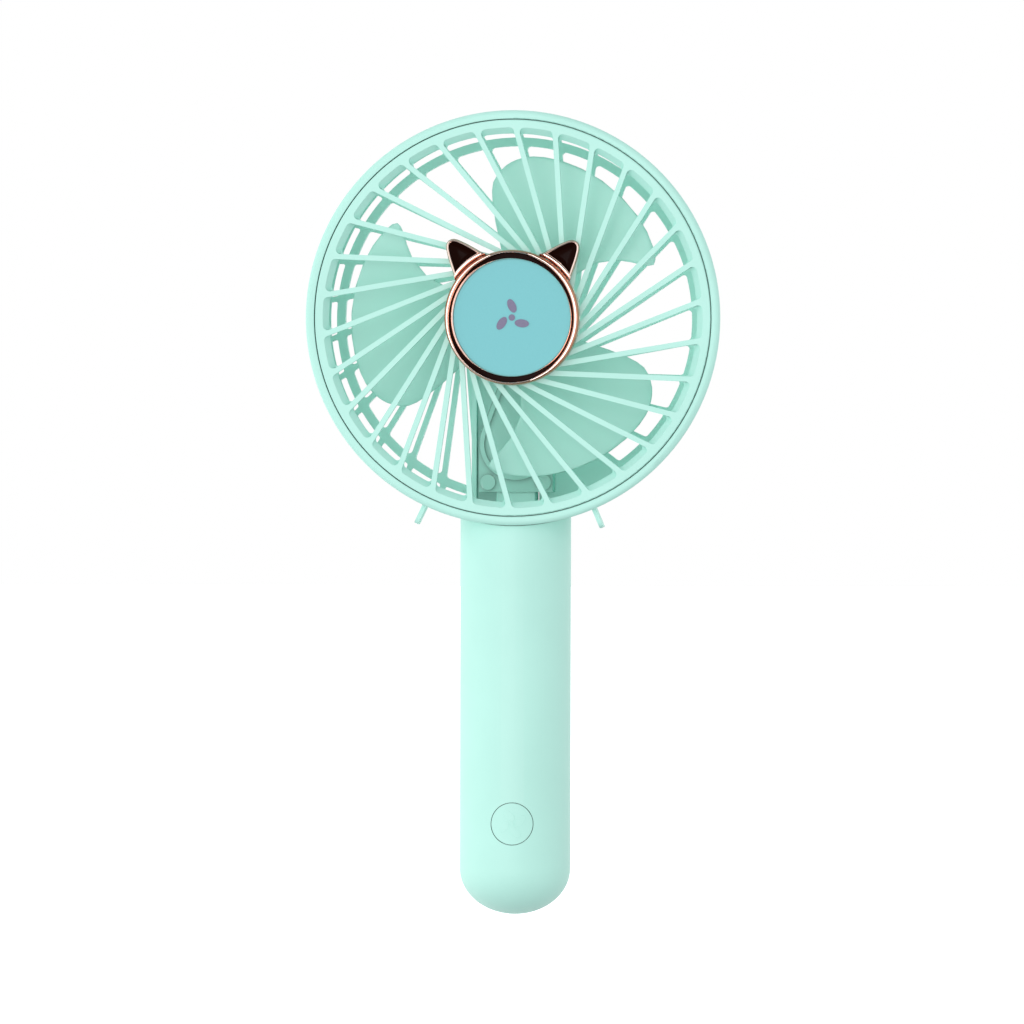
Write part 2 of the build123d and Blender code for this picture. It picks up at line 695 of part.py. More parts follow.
# Motor leads: behind the motor, down the housing and around a cheek into the hollow pin
with BuildPart() as motor_leads:
    for side in (-1, 1):
        depth = PIVOT_Y + side * LEAD_SPREAD
        behind = -MOTOR_BACK + 0.8
        points = [
            (side * TERMINAL_R, behind, HEAD_Z - TERMINAL_W / 2),
            (side * TERMINAL_R, behind, HEAD_Z - 6),
            (0.3, behind + side * LEAD_SPREAD, HEAD_Z - 11),
            (0.3, behind + side * LEAD_SPREAD, PIVOT_Z + 11),
            (5.4, depth, PIVOT_Z + 7.4),
            (6.35, depth, PIVOT_Z + 5.2),
            (7.1, depth, PIVOT_Z + 3.2),
            (7.2, depth, PIVOT_Z),
            (0, depth, PIVOT_Z),
        ]
        add(wire(points, LEAD_R, LEAD_BEND))
motor_leads.part.label = "motor_leads"
export_step(motor_leads.part, "parts/motor_leads.step")

# ---- Head: hinge cover -------------------------------------------------------------------------
with BuildPart() as hinge_cover:
    with BuildSketch(HEAD):
        add(hinge_outline(0))
        Circle(CUP_R, mode=Mode.SUBTRACT)
    extrude(amount=COVER_T)
    with BuildSketch(HEAD.offset(COVER_T)):
        with Locations((COVER_SCREW_X, COVER_SCREW_V), (-COVER_SCREW_X, COVER_SCREW_V)):
            Circle(COVER_BOSS_R)
    extrude(amount=COVER_BOSS_H)
    with BuildSketch(HEAD):
        with Locations((COVER_SCREW_X, COVER_SCREW_V), (-COVER_SCREW_X, COVER_SCREW_V)):
            Circle(COVER_SCREW_SHANK)
    extrude(amount=COVER_SCREW_TIP, mode=Mode.SUBTRACT)
    # Raised teardrop with a sunken middle
    with BuildSketch(HEAD.offset(COVER_T)):
        add(teardrop(RIDGE_OUT))
        add(teardrop(RIDGE_IN), mode=Mode.SUBTRACT)
        Circle(CUP_R, mode=Mode.SUBTRACT)
    extrude(amount=RIDGE_T)
    # Fingers that hold the pin in the cheeks
    for side in (-1, 1):
        with BuildSketch(PIVOT.offset(side * (NECK_HALF_W + CHEEK_OUT + SLOT_CLEAR) / 2)):
            with Locations((-PIVOT_Y, 0)):
                Rectangle(PIVOT_Y, 2 * PIN_R - FINGER_GAP, align=(Align.MIN, Align.CENTER))
            Circle(PIN_R + PIN_FIT, mode=Mode.SUBTRACT)
        extrude(amount=FINGER_T / 2, both=True)
hinge_cover.part.label = "hinge_cover"
export_step(hinge_cover.part, "parts/hinge_cover.step")

with BuildPart(REAR_VIEW.offset(-BACK - SMALL_HEAD_H)) as cover_screws:
    with Locations((COVER_SCREW_X, COVER_SCREW_Z), (-COVER_SCREW_X, COVER_SCREW_Z)):
        add(screw(SMALL_HEAD_R, SMALL_HEAD_H, COVER_SCREW_SHANK, COVER_SCREW_TIP - BACK - SMALL_HEAD_H))
cover_screws.part.label = "cover_screws"
export_step(cover_screws.part, "parts/cover_screws.step")

# ---- Rotor -------------------------------------------------------------------------------------
with BuildPart() as motor_shaft:
    with BuildSketch(HEAD.offset(SHAFT_BACK)):
        Circle(SHAFT_R)
    extrude(amount=SHAFT_TOP - SHAFT_BACK)
motor_shaft.part.label = "motor_shaft"
export_step(motor_shaft.part, "parts/motor_shaft.step")

with BuildPart() as motor_armature:
    with BuildSketch(HEAD.offset(CORE_BACK)):
        Circle(ARMATURE_R)
        with PolarLocations(0, POLES, start_angle=POLE_START):
            with Locations((WINDING_R, 0)):
                RectangleRounded(WINDING_D, WINDING_W, WINDING_CORNER, mode=Mode.SUBTRACT)
            with Locations((ARMATURE_R, 0)):
                Rectangle(WINDING_D, POLE_GAP, mode=Mode.SUBTRACT)
        Circle(SHAFT_R, mode=Mode.SUBTRACT)
    extrude(amount=CORE_L)
motor_armature.part.label = "motor_armature"
export_step(motor_armature.part, "parts/motor_armature.step")

with BuildPart() as motor_windings:
    with BuildSketch(HEAD.offset(CORE_BACK - WINDING_OVER)):
        with PolarLocations(0, POLES, start_angle=POLE_START):
            with Locations((WINDING_R, 0)):
                RectangleRounded(
                    WINDING_D - 2 * WINDING_CLEAR,
                    WINDING_W - 2 * WINDING_CLEAR,
                    WINDING_CORNER - WINDING_CLEAR,
                )
    extrude(amount=CORE_L + 2 * WINDING_OVER)
motor_windings.part.label = "motor_windings"
export_step(motor_windings.part, "parts/motor_windings.step")

with BuildPart() as motor_commutator:
    with BuildSketch(HEAD.offset(COMMUTATOR_BACK)):
        Circle(COMMUTATOR_R)
        Circle(SHAFT_R, mode=Mode.SUBTRACT)
    extrude(amount=COMMUTATOR_L)
motor_commutator.part.label = "motor_commutator"
export_step(motor_commutator.part, "parts/motor_commutator.step")


def blade_height(angle):
    """Height of the blade along the head's axis: it rises from the leading to the trailing edge."""
    turn = (LEAD_ANGLE - angle) / (LEAD_ANGLE - TRAIL_ANGLE)
    return BLADE_LEAD + (BLADE_TRAIL - BLADE_LEAD) * turn


with BuildPart() as blade:
    sheet_rows = []
    for radius in range(8, 50, 4):
        sheet_rows.append([(*polar(radius, a), blade_height(a)) for a in range(5, 120, 5)])
    thicken(Face.make_surface_from_array_of_points(sheet_rows), amount=BLADE_T / 2, both=True)
    with BuildSketch(Plane.XY.offset(HUB_BOTTOM - 4)):
        with BuildLine():
            Line((0, 0), polar(BLADE_ROOT_R, 100.0))
            Spline(
                polar(BLADE_ROOT_R, 100.0),
                polar(28.0, 100.0),
                polar(34.5, 98.0),
                polar(38.8, 91.5),
                polar(40.8, 84.0),
                polar(BLADE_R, 72.0),
                polar(40.9, 56.0),
                polar(40.2, 38.0),
                polar(39.2, 25.0),
                polar(37.6, 19.3),
                polar(34.6, 21.2),
                polar(29.5, 28.0),
                polar(24.5, 32.5),
                polar(BLADE_ROOT_R, 34.0),
            )
            Line(polar(BLADE_ROOT_R, 34.0), (0, 0))
        make_face()
        Circle(BLADE_ROOT_R - 0.1, mode=Mode.SUBTRACT)
    extrude(amount=14, mode=Mode.INTERSECT)

with BuildPart(HEAD) as impeller:
    with BuildSketch(HEAD.offset(HUB_BOTTOM)):
        Circle(HUB_R)
    extrude(amount=HUB_TOP - HUB_BOTTOM)
    fillet(impeller.edges().group_by(Axis.Y)[0], HUB_EDGE)
    with BuildSketch(HEAD.offset(HUB_BOTTOM)):
        Circle(HUB_R - HUB_WALL)
    extrude(amount=HUB_TOP - HUB_BOTTOM - HUB_WALL, mode=Mode.SUBTRACT)
    with BuildSketch(HEAD.offset(BOSS_BOTTOM)):
        Circle(BOSS_R)
    extrude(amount=HUB_TOP - HUB_WALL - BOSS_BOTTOM)
    with PolarLocations(0, BLADES, start_angle=BLADE_TURN):
        add(blade.part)
    with BuildSketch(HEAD.offset(BOSS_BOTTOM)):
        Circle(SHAFT_R)
    extrude(amount=SHAFT_TOP - BOSS_BOTTOM, mode=Mode.SUBTRACT)
impeller.part.label = "impeller"
export_step(impeller.part, "parts/impeller.step")

# ---- Neck and hinge ----------------------------------------------------------------------------
with BuildPart() as neck:
    with BuildSketch(PIVOT):
        add(neck_profile(0, PIVOT_Z - ROOT_BOTTOM))
    extrude(amount=NECK_HALF_W, both=True)
    fillet(neck.edges().filter_by(Axis.Z), 0.6)
    with BuildSketch(Plane.XY.offset(ROOT_BOTTOM)):
        Circle(BORE_R - 0.1)
        Rectangle(2 * ROOT_HALF_W, 2 * ROOT_DEPTH, mode=Mode.INTERSECT)
    extrude(amount=ROOT_TOP - ROOT_BOTTOM)
    with BuildSketch(PIVOT):
        Circle(PIN_R)
    extrude(amount=NECK_HALF_W, both=True, mode=Mode.SUBTRACT)
    with BuildSketch(Plane.XY.offset(ROOT_BOTTOM)):
        with Locations((0, PIVOT_Y)):
            Circle(WIRE_DUCT_R)
    extrude(amount=PIVOT_Z - ROOT_BOTTOM, mode=Mode.SUBTRACT)
    with BuildSketch(Plane.XZ):
        with Locations((TOP_SCREW_X, TOP_SCREW_Z), (-TOP_SCREW_X, TOP_SCREW_Z)):
            Circle(SCREW_R + SCREW_CLEAR)
    extrude(amount=HANDLE_R, both=True, mode=Mode.SUBTRACT)
neck.part.label = "neck"
export_step(neck.part, "parts/neck.step")

with BuildPart() as hinge_pin:
    with BuildSketch(PIVOT):
        Circle(PIN_R)
        Circle(PIN_BORE, mode=Mode.SUBTRACT)
    extrude(amount=CHEEK_OUT, both=True)
    with Locations((0, PIVOT_Y, PIVOT_Z)):
        Cylinder(PIN_BORE, 2 * PIN_R, align=(Align.CENTER, Align.CENTER, Align.MAX), mode=Mode.SUBTRACT)
hinge_pin.part.label = "hinge_pin"
export_step(hinge_pin.part, "parts/hinge_pin.step")

with BuildPart() as hinge_washers:
    for side in (-1, 1):
        with BuildSketch(PIVOT.offset(side * NECK_HALF_W)):
            Circle(WASHER_R)
            Circle(PIN_R, mode=Mode.SUBTRACT)
        extrude(amount=side * WASHER_T)
hinge_washers.part.label = "hinge_washers"
export_step(hinge_washers.part, "parts/hinge_washers.step")

# ---- Handle shells -----------------------------------------------------------------------------
with BuildPart() as handle_envelope:
    with BuildSketch(Plane.XZ):
        with BuildLine():
            Line((0, PIVOT_Z), (0, HANDLE_BOTTOM))
            EllipticalCenterArc((0, END_Z), HANDLE_R, HANDLE_END_H, start_angle=270, arc_size=90)
            Polyline((HANDLE_R, END_Z), (HANDLE_R, PIVOT_Z), (0, PIVOT_Z))
        make_face()
    revolve(axis=Axis.Z)
    with BuildSketch(HEAD_SECTION):
        with BuildLine():
            Polyline(
                (0, -FACE),
                (RIM_R + HANDLE_TOP_GAP, -FACE),
                (RIM_R + HANDLE_TOP_GAP - SADDLE_TAPER, FACE),
                (0, FACE),
                close=True,
            )
        make_face()
    revolve(axis=HEAD_AXIS, mode=Mode.SUBTRACT)

with BuildPart() as handle_body:
    add(handle_envelope.part)
    with BuildSketch(Plane.XZ):
        with BuildLine():
            Line((0, ROOT_TOP), (0, HANDLE_BOTTOM + HANDLE_WALL))
            EllipticalCenterArc((0, END_Z), BORE_R, HANDLE_END_H - HANDLE_WALL, start_angle=270, arc_size=90)
            Polyline((BORE_R, END_Z), (BORE_R, ROOT_TOP), (0, ROOT_TOP))
        make_face()
    revolve(axis=Axis.Z, mode=Mode.SUBTRACT)
    # Opening for the neck
    with BuildSketch(PIVOT):
        add(neck_profile(NECK_FIT, PIVOT_Z - ROOT_BOTTOM))
    extrude(amount=NECK_HALF_W + NECK_FIT, both=True, mode=Mode.SUBTRACT)
    # Bosses for the screws that join the halves: two through the neck's root and one at the end
    with BuildSketch(Plane.XZ):
        with Locations((TOP_SCREW_X, TOP_SCREW_Z), (-TOP_SCREW_X, TOP_SCREW_Z), (0, END_SCREW_Z)):
            Circle(SCREW_BOSS_R)
    extrude(amount=HANDLE_R, both=True)
    with BuildSketch(Plane.XY.offset(ROOT_BOTTOM - SCREW_BOSS_R)):
        Circle(BORE_R)
        Rectangle(2 * HANDLE_R, 2 * ROOT_DEPTH, mode=Mode.INTERSECT)
    extrude(amount=ROOT_TOP - ROOT_BOTTOM + SCREW_BOSS_R, mode=Mode.SUBTRACT)
    # Posts that carry the main board, and a flat seat behind the button
    with BuildSketch(Plane.XZ.offset(-BOARD_FRONT)):
        with Locations((BOARD_SCREW_X, BOARD_SCREW_Z), (-BOARD_SCREW_X, BOARD_SCREW_Z)):
            Circle(BOARD_POST_R)
    extrude(amount=HANDLE_R + BOARD_FRONT)
    with BuildSketch(Plane.XZ.offset(-FLANGE_FRONT)):
        with Locations((0, BUTTON_Z)):
            Circle(BUTTON_FLANGE_R + 1)
    extrude(amount=HANDLE_R + FLANGE_FRONT)
    with BuildSketch(Plane.XZ.offset(-FLANGE_FRONT)):
        with Locations((0, BUTTON_Z)):
            Circle(BUTTON_FLANGE_R + 0.3)
    extrude(amount=FLANGE_FRONT - BOARD_FRONT, mode=Mode.SUBTRACT)
    # Ledges under the port's board
    for side in (-1, 1):
        with Locations((side * LEDGE_X, LEDGE_Y, USB_BOARD_Z)):
            Box(LEDGE_W, LEDGE_W, LEDGE_T, align=(Align.CENTER, Align.CENTER, Align.MAX))
    add(handle_envelope.part, mode=Mode.INTERSECT)
    # Screw holes, sunk from the back
    with BuildSketch(Plane.XZ.offset(-SCREW_TIP)):
        with Locations((TOP_SCREW_X, TOP_SCREW_Z), (-TOP_SCREW_X, TOP_SCREW_Z), (0, END_SCREW_Z)):
            Circle(SCREW_R)
    extrude(amount=SCREW_TIP - HANDLE_R, mode=Mode.SUBTRACT)
    with BuildSketch(REAR_VIEW.offset(TOP_SCREW_SEAT)):
        with Locations((TOP_SCREW_X, TOP_SCREW_Z), (-TOP_SCREW_X, TOP_SCREW_Z)):
            Circle(SCREW_HEAD_R + SCREW_CLEAR)
    extrude(amount=HANDLE_R, mode=Mode.SUBTRACT)
    with BuildSketch(REAR_VIEW.offset(END_SCREW_SEAT)):
        with Locations((0, END_SCREW_Z)):
            Circle(SCREW_HEAD_R + SCREW_CLEAR)
    extrude(amount=HANDLE_R, mode=Mode.SUBTRACT)
    with BuildSketch(Plane.XZ.offset(-BOARD_FRONT)):
        with Locations((BOARD_SCREW_X, BOARD_SCREW_Z), (-BOARD_SCREW_X, BOARD_SCREW_Z)):
            Circle(BOARD_SCREW_R)
    extrude(amount=BOARD_SCREW_L - BOARD_T, mode=Mode.SUBTRACT)
    # Holes for the button, the port and the charge light
    with BuildSketch(Plane.XZ):
        with Locations((0, BUTTON_Z)):
            Circle(BUTTON_R + BUTTON_GAP)
    extrude(amount=2 * HANDLE_R, mode=Mode.SUBTRACT)
    with BuildSketch(REAR_VIEW.offset(USB_FACE - USB_L)):
        with Locations((0, USB_Z)):
            RectangleRounded(USB_W + 2 * USB_CLEAR, USB_H + 2 * USB_CLEAR, USB_H / 2)
        with Locations((-LED_X, USB_Z)):
            Circle(LED_R + LED_CLEAR)
    extrude(amount=HANDLE_R, mode=Mode.SUBTRACT)

with BuildPart() as handle_front:
    add(handle_body.part)
    split(bisect_by=Plane.XZ, keep=Keep.TOP)
handle_front.part.label = "handle_front"
export_step(handle_front.part, "parts/handle_front.step")

with BuildPart() as handle_back:
    add(handle_body.part)
    split(bisect_by=Plane.XZ, keep=Keep.BOTTOM)
handle_back.part.label = "handle_back"
export_step(handle_back.part, "parts/handle_back.step")

with BuildPart() as handle_screws:
    for across, up, seat in (
        (TOP_SCREW_X, TOP_SCREW_Z, TOP_SCREW_SEAT),
        (-TOP_SCREW_X, TOP_SCREW_Z, TOP_SCREW_SEAT),
        (0, END_SCREW_Z, END_SCREW_SEAT),
    ):
        fastener = screw(SCREW_HEAD_R, SCREW_HEAD_H, SCREW_R, seat - SCREW_TIP)
        with Locations(Plane(origin=(across, seat, up), x_dir=(-1, 0, 0), z_dir=(0, 1, 0))):
            add(fastener)
handle_screws.part.label = "handle_screws"
export_step(handle_screws.part, "parts/handle_screws.step")

# ---- Button and switch -------------------------------------------------------------------------
# Raised four-blade fan on the button's face
with BuildPart() as button_icon:
    with BuildSketch(Plane.XZ.offset(-FLANGE_FRONT)):
        with Locations((0, BUTTON_Z)):
            Circle(ICON_HUB_R)
            with PolarLocations(0, 4, start_angle=ICON_START):
                with Locations((ICON_PETAL_OFF, 0)):
                    Ellipse(ICON_PETAL_L / 2, ICON_PETAL_W / 2, rotation=ICON_TWIST)
    extrude(amount=HANDLE_R)
    with Locations((0, 0, BUTTON_Z)):
        Cylinder(ICON_FACE_R, 4 * BUTTON_R, mode=Mode.INTERSECT)

with BuildPart() as button:
    with BuildSketch(Plane.XZ.offset(-FLANGE_FRONT - BUTTON_FLANGE_T)):
        with Locations((0, BUTTON_Z)):
            Circle(BUTTON_FLANGE_R)
    extrude(amount=BUTTON_FLANGE_T)
    with BuildSketch(Plane.XZ.offset(-FLANGE_FRONT)):
        with Locations((0, BUTTON_Z)):
            Circle(BUTTON_R)
    extrude(amount=HANDLE_R + FLANGE_FRONT)
    with Locations((0, 0, BUTTON_Z)):
        Cylinder(BUTTON_FACE_R, 4 * BUTTON_R, mode=Mode.INTERSECT)
    add(button_icon.part)
button.part.label = "button"
export_step(button.part, "parts/button.step")

with BuildPart() as switch_stem:
    with BuildSketch(Plane.XZ.offset(-STEM_BACK)):
        with Locations((0, BUTTON_Z)):
            Circle(STEM_R)
    extrude(amount=STEM_BACK - FLANGE_FRONT - BUTTON_FLANGE_T)
switch_stem.part.label = "switch_stem"
export_step(switch_stem.part, "parts/switch_stem.step")

with BuildPart() as tact_switch:
    with BuildSketch(Plane.XZ.offset(-BOARD_FRONT)):
        with Locations((0, BUTTON_Z)):
            RectangleRounded(SWITCH_W, SWITCH_W, SWITCH_CORNER)
    extrude(amount=BOARD_FRONT - SWITCH_FRONT)
    with BuildSketch(Plane.XZ.offset(-BOARD_FRONT + SWITCH_BASE)):
        with Locations((0, BUTTON_Z)):
            Circle(STEM_R + STEM_FIT)
    extrude(amount=BOARD_FRONT - SWITCH_FRONT, mode=Mode.SUBTRACT)
tact_switch.part.label = "tact_switch"
export_step(tact_switch.part, "parts/tact_switch.step")

# ---- Battery -----------------------------------------------------------------------------------
with BuildPart() as battery_cell:
    with BuildSketch(Plane.XY.offset(CELL_BOTTOM)):
        with Locations((0, CELL_Y)):
            Circle(CELL_R)
    extrude(amount=CELL_L)
    fillet(battery_cell.edges(), CELL_EDGE)
battery_cell.part.label = "battery_cell"
export_step(battery_cell.part, "parts/battery_cell.step")

with BuildPart() as battery_tabs:
    for height in (CELL_BOTTOM - TAB_T, CELL_BOTTOM + CELL_L):
        with BuildSketch(Plane.XY.offset(height)):
            with Locations((0, TAB_Y)):
                RectangleRounded(TAB_W, TAB_L, 1.0)
        extrude(amount=TAB_T)
battery_tabs.part.label = "battery_tabs"
export_step(battery_tabs.part, "parts/battery_tabs.step")

with BuildPart() as battery_pads:
    for height in PAD_HEIGHTS:
        with BuildSketch(Plane.XY.offset(height)):
            with Locations((0, CELL_Y)):
                Circle(CELL_R + PAD_T)
                Circle(CELL_R, mode=Mode.SUBTRACT)
                Rectangle(2 * HANDLE_R, HANDLE_R, align=(Align.CENTER, Align.MIN), mode=Mode.INTERSECT)
        extrude(amount=PAD_L)
battery_pads.part.label = "battery_pads"
export_step(battery_pads.part, "parts/battery_pads.step")

# ---- Boards ------------------------------------------------------------------------------------
with BuildPart() as main_board:
    with BuildSketch(Plane.XZ.offset(-BOARD_FRONT - BOARD_T)):
        with Locations((0, BOARD_BOTTOM)):
            Rectangle(BOARD_W, BOARD_TOP - BOARD_BOTTOM, align=(Align.CENTER, Align.MIN))
        with Locations((BOARD_SCREW_X, BOARD_SCREW_Z), (-BOARD_SCREW_X, BOARD_SCREW_Z)):
            Circle(BOARD_SCREW_R, mode=Mode.SUBTRACT)
    extrude(amount=BOARD_T)
main_board.part.label = "main_board"
export_step(main_board.part, "parts/main_board.step")

with BuildPart() as board_parts:
    for across, up, width, height, thick in (
        (0, -13, 4.0, 4.0, 1.0),
        (-1.5, -19.5, 5.0, 5.0, 2.2),
        (4.2, -18.5, 2.0, 3.0, 1.0),
        (4.2, -24.0, 1.6, 0.8, 0.7),
        (-4.5, -25.0, 1.6, 0.8, 0.7),
        (0.5, -25.5, 3.0, 1.6, 1.1),
        (-4.5, -13.5, 1.6, 0.8, 0.7),
    ):
        with BuildSketch(Plane.XZ.offset(-BOARD_FRONT)):
            with Locations((across, up)):
                Rectangle(width, height)
        extrude(amount=thick)
board_parts.part.label = "board_parts"
export_step(board_parts.part, "parts/board_parts.step")

with BuildPart(REAR_VIEW.offset(BOARD_FRONT + BOARD_T)) as board_screws:
    with Locations((BOARD_SCREW_X, BOARD_SCREW_Z), (-BOARD_SCREW_X, BOARD_SCREW_Z)):
        add(screw(BOARD_HEAD_R, BOARD_HEAD_H, BOARD_SCREW_R, BOARD_SCREW_L))
board_screws.part.label = "board_screws"
export_step(board_screws.part, "parts/board_screws.step")

with BuildPart() as usb_board:
    with BuildSketch(Plane.XY.offset(USB_BOARD_Z)):
        with Locations((0, USB_BOARD_BACK)):
            Rectangle(USB_BOARD_W, USB_BOARD_BACK - USB_BOARD_FRONT, align=(Align.CENTER, Align.MAX))
    extrude(amount=BOARD_T)
usb_board.part.label = "usb_board"
export_step(usb_board.part, "parts/usb_board.step")

with BuildPart() as usb_port:
    with BuildSketch(REAR_VIEW.offset(USB_FACE - USB_L)):
        with Locations((0, USB_Z)):
            RectangleRounded(USB_W, USB_H, USB_H / 2 - 0.05)
    extrude(amount=USB_L)
    with BuildSketch(REAR_VIEW.offset(USB_FACE)):
        with Locations((0, USB_Z)):
            RectangleRounded(USB_W - 2 * USB_WALL, USB_H - 2 * USB_WALL, USB_H / 2 - USB_WALL - 0.05)
    extrude(amount=USB_WALL - USB_L, mode=Mode.SUBTRACT)
usb_port.part.label = "usb_port"
export_step(usb_port.part, "parts/usb_port.step")

with BuildPart() as usb_tongue:
    with BuildSketch(REAR_VIEW.offset(USB_FACE - USB_L + USB_WALL)):
        with Locations((0, USB_Z)):
            Rectangle(TONGUE_W, TONGUE_T)
    extrude(amount=TONGUE_L)
usb_tongue.part.label = "usb_tongue"
export_step(usb_tongue.part, "parts/usb_tongue.step")

with BuildPart() as charge_led:
    with BuildSketch(REAR_VIEW.offset(LED_BACK)):
        with Locations((-LED_X, USB_BOARD_Z + BOARD_T)):
            Rectangle(2 * LED_R, USB_Z - USB_BOARD_Z - BOARD_T + LED_R, align=(Align.CENTER, Align.MIN))
    extrude(amount=LED_BASE_L)
    with BuildSketch(REAR_VIEW.offset(LED_BACK)):
        with Locations((-LED_X, USB_Z)):
            Circle(LED_R)
    extrude(amount=LED_FACE - LED_BACK)
charge_led.part.label = "charge_led"
export_step(charge_led.part, "parts/charge_led.step")

# ---- Leads in the handle -----------------------------------------------------------------------
# Power leads: out of the pin, down the neck, forward over the cell and down to the main board
board_middle = BOARD_FRONT + BOARD_T / 2
with BuildPart() as power_leads:
    for side, across in ((-1, -2.4), (1, 1.2)):
        depth = PIVOT_Y + side * LEAD_SPREAD
        crossing = POWER_LEAD_Z - side * 0.45
        points = [
            (-0.05, depth, PIVOT_Z),
            (-0.75, depth, PIVOT_Z),
            (-0.75, depth, crossing),
            (across, board_middle, crossing),
            (across, board_middle, BOARD_TOP),
        ]
        add(wire(points, LEAD_R, 0.5))
power_leads.part.label = "power_leads"
export_step(power_leads.part, "parts/power_leads.step")

with BuildPart() as battery_leads:
    cell_top = CELL_BOTTOM + CELL_L + TAB_T
    cell_end = CELL_BOTTOM - TAB_T
    add(wire([(4.8, 0, cell_top), (4.8, 0, cell_top + 1.4), (4.8, board_middle, cell_top + 1.4),
              (4.8, board_middle, BOARD_TOP)], LEAD_R, 0.6))
    add(wire([(-4.5, 0, cell_end), (-4.5, 0, cell_end - 1.6), (-4.5, BOARD_FRONT + BOARD_T, cell_end - 1.6)],
             LEAD_R, 0.6))
battery_leads.part.label = "battery_leads"
export_step(battery_leads.part, "parts/battery_leads.step")

with BuildPart() as usb_leads:
    for side in (-1, 1):
        start = (side * 1.5, USB_BOARD_FRONT + 1.5, USB_BOARD_Z + BOARD_T)
        turn = (side * 1.5, USB_BOARD_FRONT + 1.5, BOARD_BOTTOM + 0.9)
        end = (side * 1.5, BOARD_FRONT + BOARD_T, BOARD_BOTTOM + 0.9)
        add(wire([start, turn, end], LEAD_R, 0.6))
usb_leads.part.label = "usb_leads"
export_step(usb_leads.part, "parts/usb_leads.step")
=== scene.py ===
"""Looks for the folding handheld fan: materials, smooth blades, badge, light and camera.

Metres, in the CAD frame: +X right, -Y front, +Z up the handle. The badge and the blades are
built in millimetres on the head: across, up, and height towards the front. Their angles run
anticlockwise from +X, seen from the front.
"""

import json
from math import cos, pi, radians, sin, sqrt

import bmesh
import bpy
from mathutils import Matrix, Vector


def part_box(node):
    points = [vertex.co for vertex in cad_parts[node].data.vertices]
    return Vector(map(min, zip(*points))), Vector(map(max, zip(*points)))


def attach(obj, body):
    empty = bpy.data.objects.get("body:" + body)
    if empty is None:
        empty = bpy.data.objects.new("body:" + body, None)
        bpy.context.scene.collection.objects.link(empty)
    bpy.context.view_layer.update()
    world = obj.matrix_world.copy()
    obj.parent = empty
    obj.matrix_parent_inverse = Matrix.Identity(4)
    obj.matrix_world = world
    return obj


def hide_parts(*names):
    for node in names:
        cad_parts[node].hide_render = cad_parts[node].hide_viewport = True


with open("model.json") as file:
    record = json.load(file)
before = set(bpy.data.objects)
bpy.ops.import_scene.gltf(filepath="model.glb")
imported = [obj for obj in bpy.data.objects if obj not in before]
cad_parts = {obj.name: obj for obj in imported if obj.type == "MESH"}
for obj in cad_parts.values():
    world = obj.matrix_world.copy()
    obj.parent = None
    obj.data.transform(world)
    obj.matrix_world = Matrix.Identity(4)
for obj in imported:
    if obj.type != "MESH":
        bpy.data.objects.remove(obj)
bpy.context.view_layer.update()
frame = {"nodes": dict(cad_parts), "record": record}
nodes = frame["nodes"]
MM = 0.001
WELD = 0.0000005             # points closer than this become one


# ---- Places read from the frame ---------------------------------------------------------------
def centre(node):
    """Middle of a CAD node's box."""
    low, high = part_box(node)
    return (low + high) / 2


HEAD_Z = centre("badge_disc").z
FACE_Y = centre("badge_disc").y
HANDLE_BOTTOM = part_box("handle_front")[0].z


# ---- Node helpers -----------------------------------------------------------------------------
# Painted shade: an ambient-occlusion mask darkens grooves and inner corners of the mint plastic.
CREASE_RAYS = 6
CREASE_SHUT = 0.15           # openness at which the painted crease shade is darkest


class Shader:
    """A material's node tree, with short calls for the nodes used here."""

    def __init__(self, name):
        self.material = bpy.data.materials.new(name)
        self.material.use_nodes = True
        self.tree = self.material.node_tree
        self.surface = self.tree.nodes["Principled BSDF"]
        self.place = self.add("ShaderNodeTexCoord").outputs["Object"]

    def add(self, kind, **settings):
        """A node with its properties and its inputs' values or links."""
        node = self.tree.nodes.new(kind)
        for key, value in settings.items():
            if hasattr(node, key):
                setattr(node, key, value)
            else:
                self.put(node.inputs[key.replace("_", " ")], value)
        return node

    def put(self, socket, value):
        """Sets a socket, or links it where the value is another node's output."""
        if isinstance(value, bpy.types.NodeSocket):
            self.tree.links.new(value, socket)
        else:
            socket.default_value = value

    def set(self, **inputs):
        """Inputs of the Principled surface."""
        for key, value in inputs.items():
            self.put(self.surface.inputs[key.replace("_", " ")], value)

    def noise(self, scale, detail=3.0, roughness=0.5):
        """Noise at a scale in cycles per metre."""
        look = {"Scale": scale, "Detail": detail, "Roughness": roughness}
        node = self.add("ShaderNodeTexNoise", Vector=self.place, **look)
        return node.outputs["Fac"]

    def spread(self, factor, low, high, start=0.3, end=0.7):
        """Maps a factor onto a range of values."""
        node = self.add("ShaderNodeMapRange", Value=factor)
        node.inputs["From Min"].default_value = start
        node.inputs["From Max"].default_value = end
        node.inputs["To Min"].default_value = low
        node.inputs["To Max"].default_value = high
        return node.outputs["Result"]

    def mix(self, factor, first, second):
        """Mix of two colours."""
        node = self.add("ShaderNodeMix", data_type="RGBA")
        self.put(node.inputs["Factor"], factor)
        self.put(node.inputs["A"], first)
        self.put(node.inputs["B"], second)
        return node.outputs["Result"]

    def edge_wear(self, low=0.62, high=0.8):
        """1 on sharp convex edges, 0 elsewhere."""
        pointy = self.add("ShaderNodeNewGeometry").outputs["Pointiness"]
        return self.spread(pointy, 0.0, 1.0, low, high)

    def painted_crease_shade(self, distance, open_at):
        """Painted shade mask: 0 deep in grooves and inner corners, 1 where the surface is at least
        open_at open.
        """
        node = self.add("ShaderNodeAmbientOcclusion", Distance=distance)
        node.samples = CREASE_RAYS
        return self.spread(node.outputs["AO"], 0.0, 1.0, CREASE_SHUT, open_at)

    def bump(self, height, distance, strength=1.0):
        """Surface relief from a height map, in metres."""
        node = self.add("ShaderNodeBump", Height=height, Distance=distance, Strength=strength)
        self.put(self.surface.inputs["Normal"], node.outputs["Normal"])


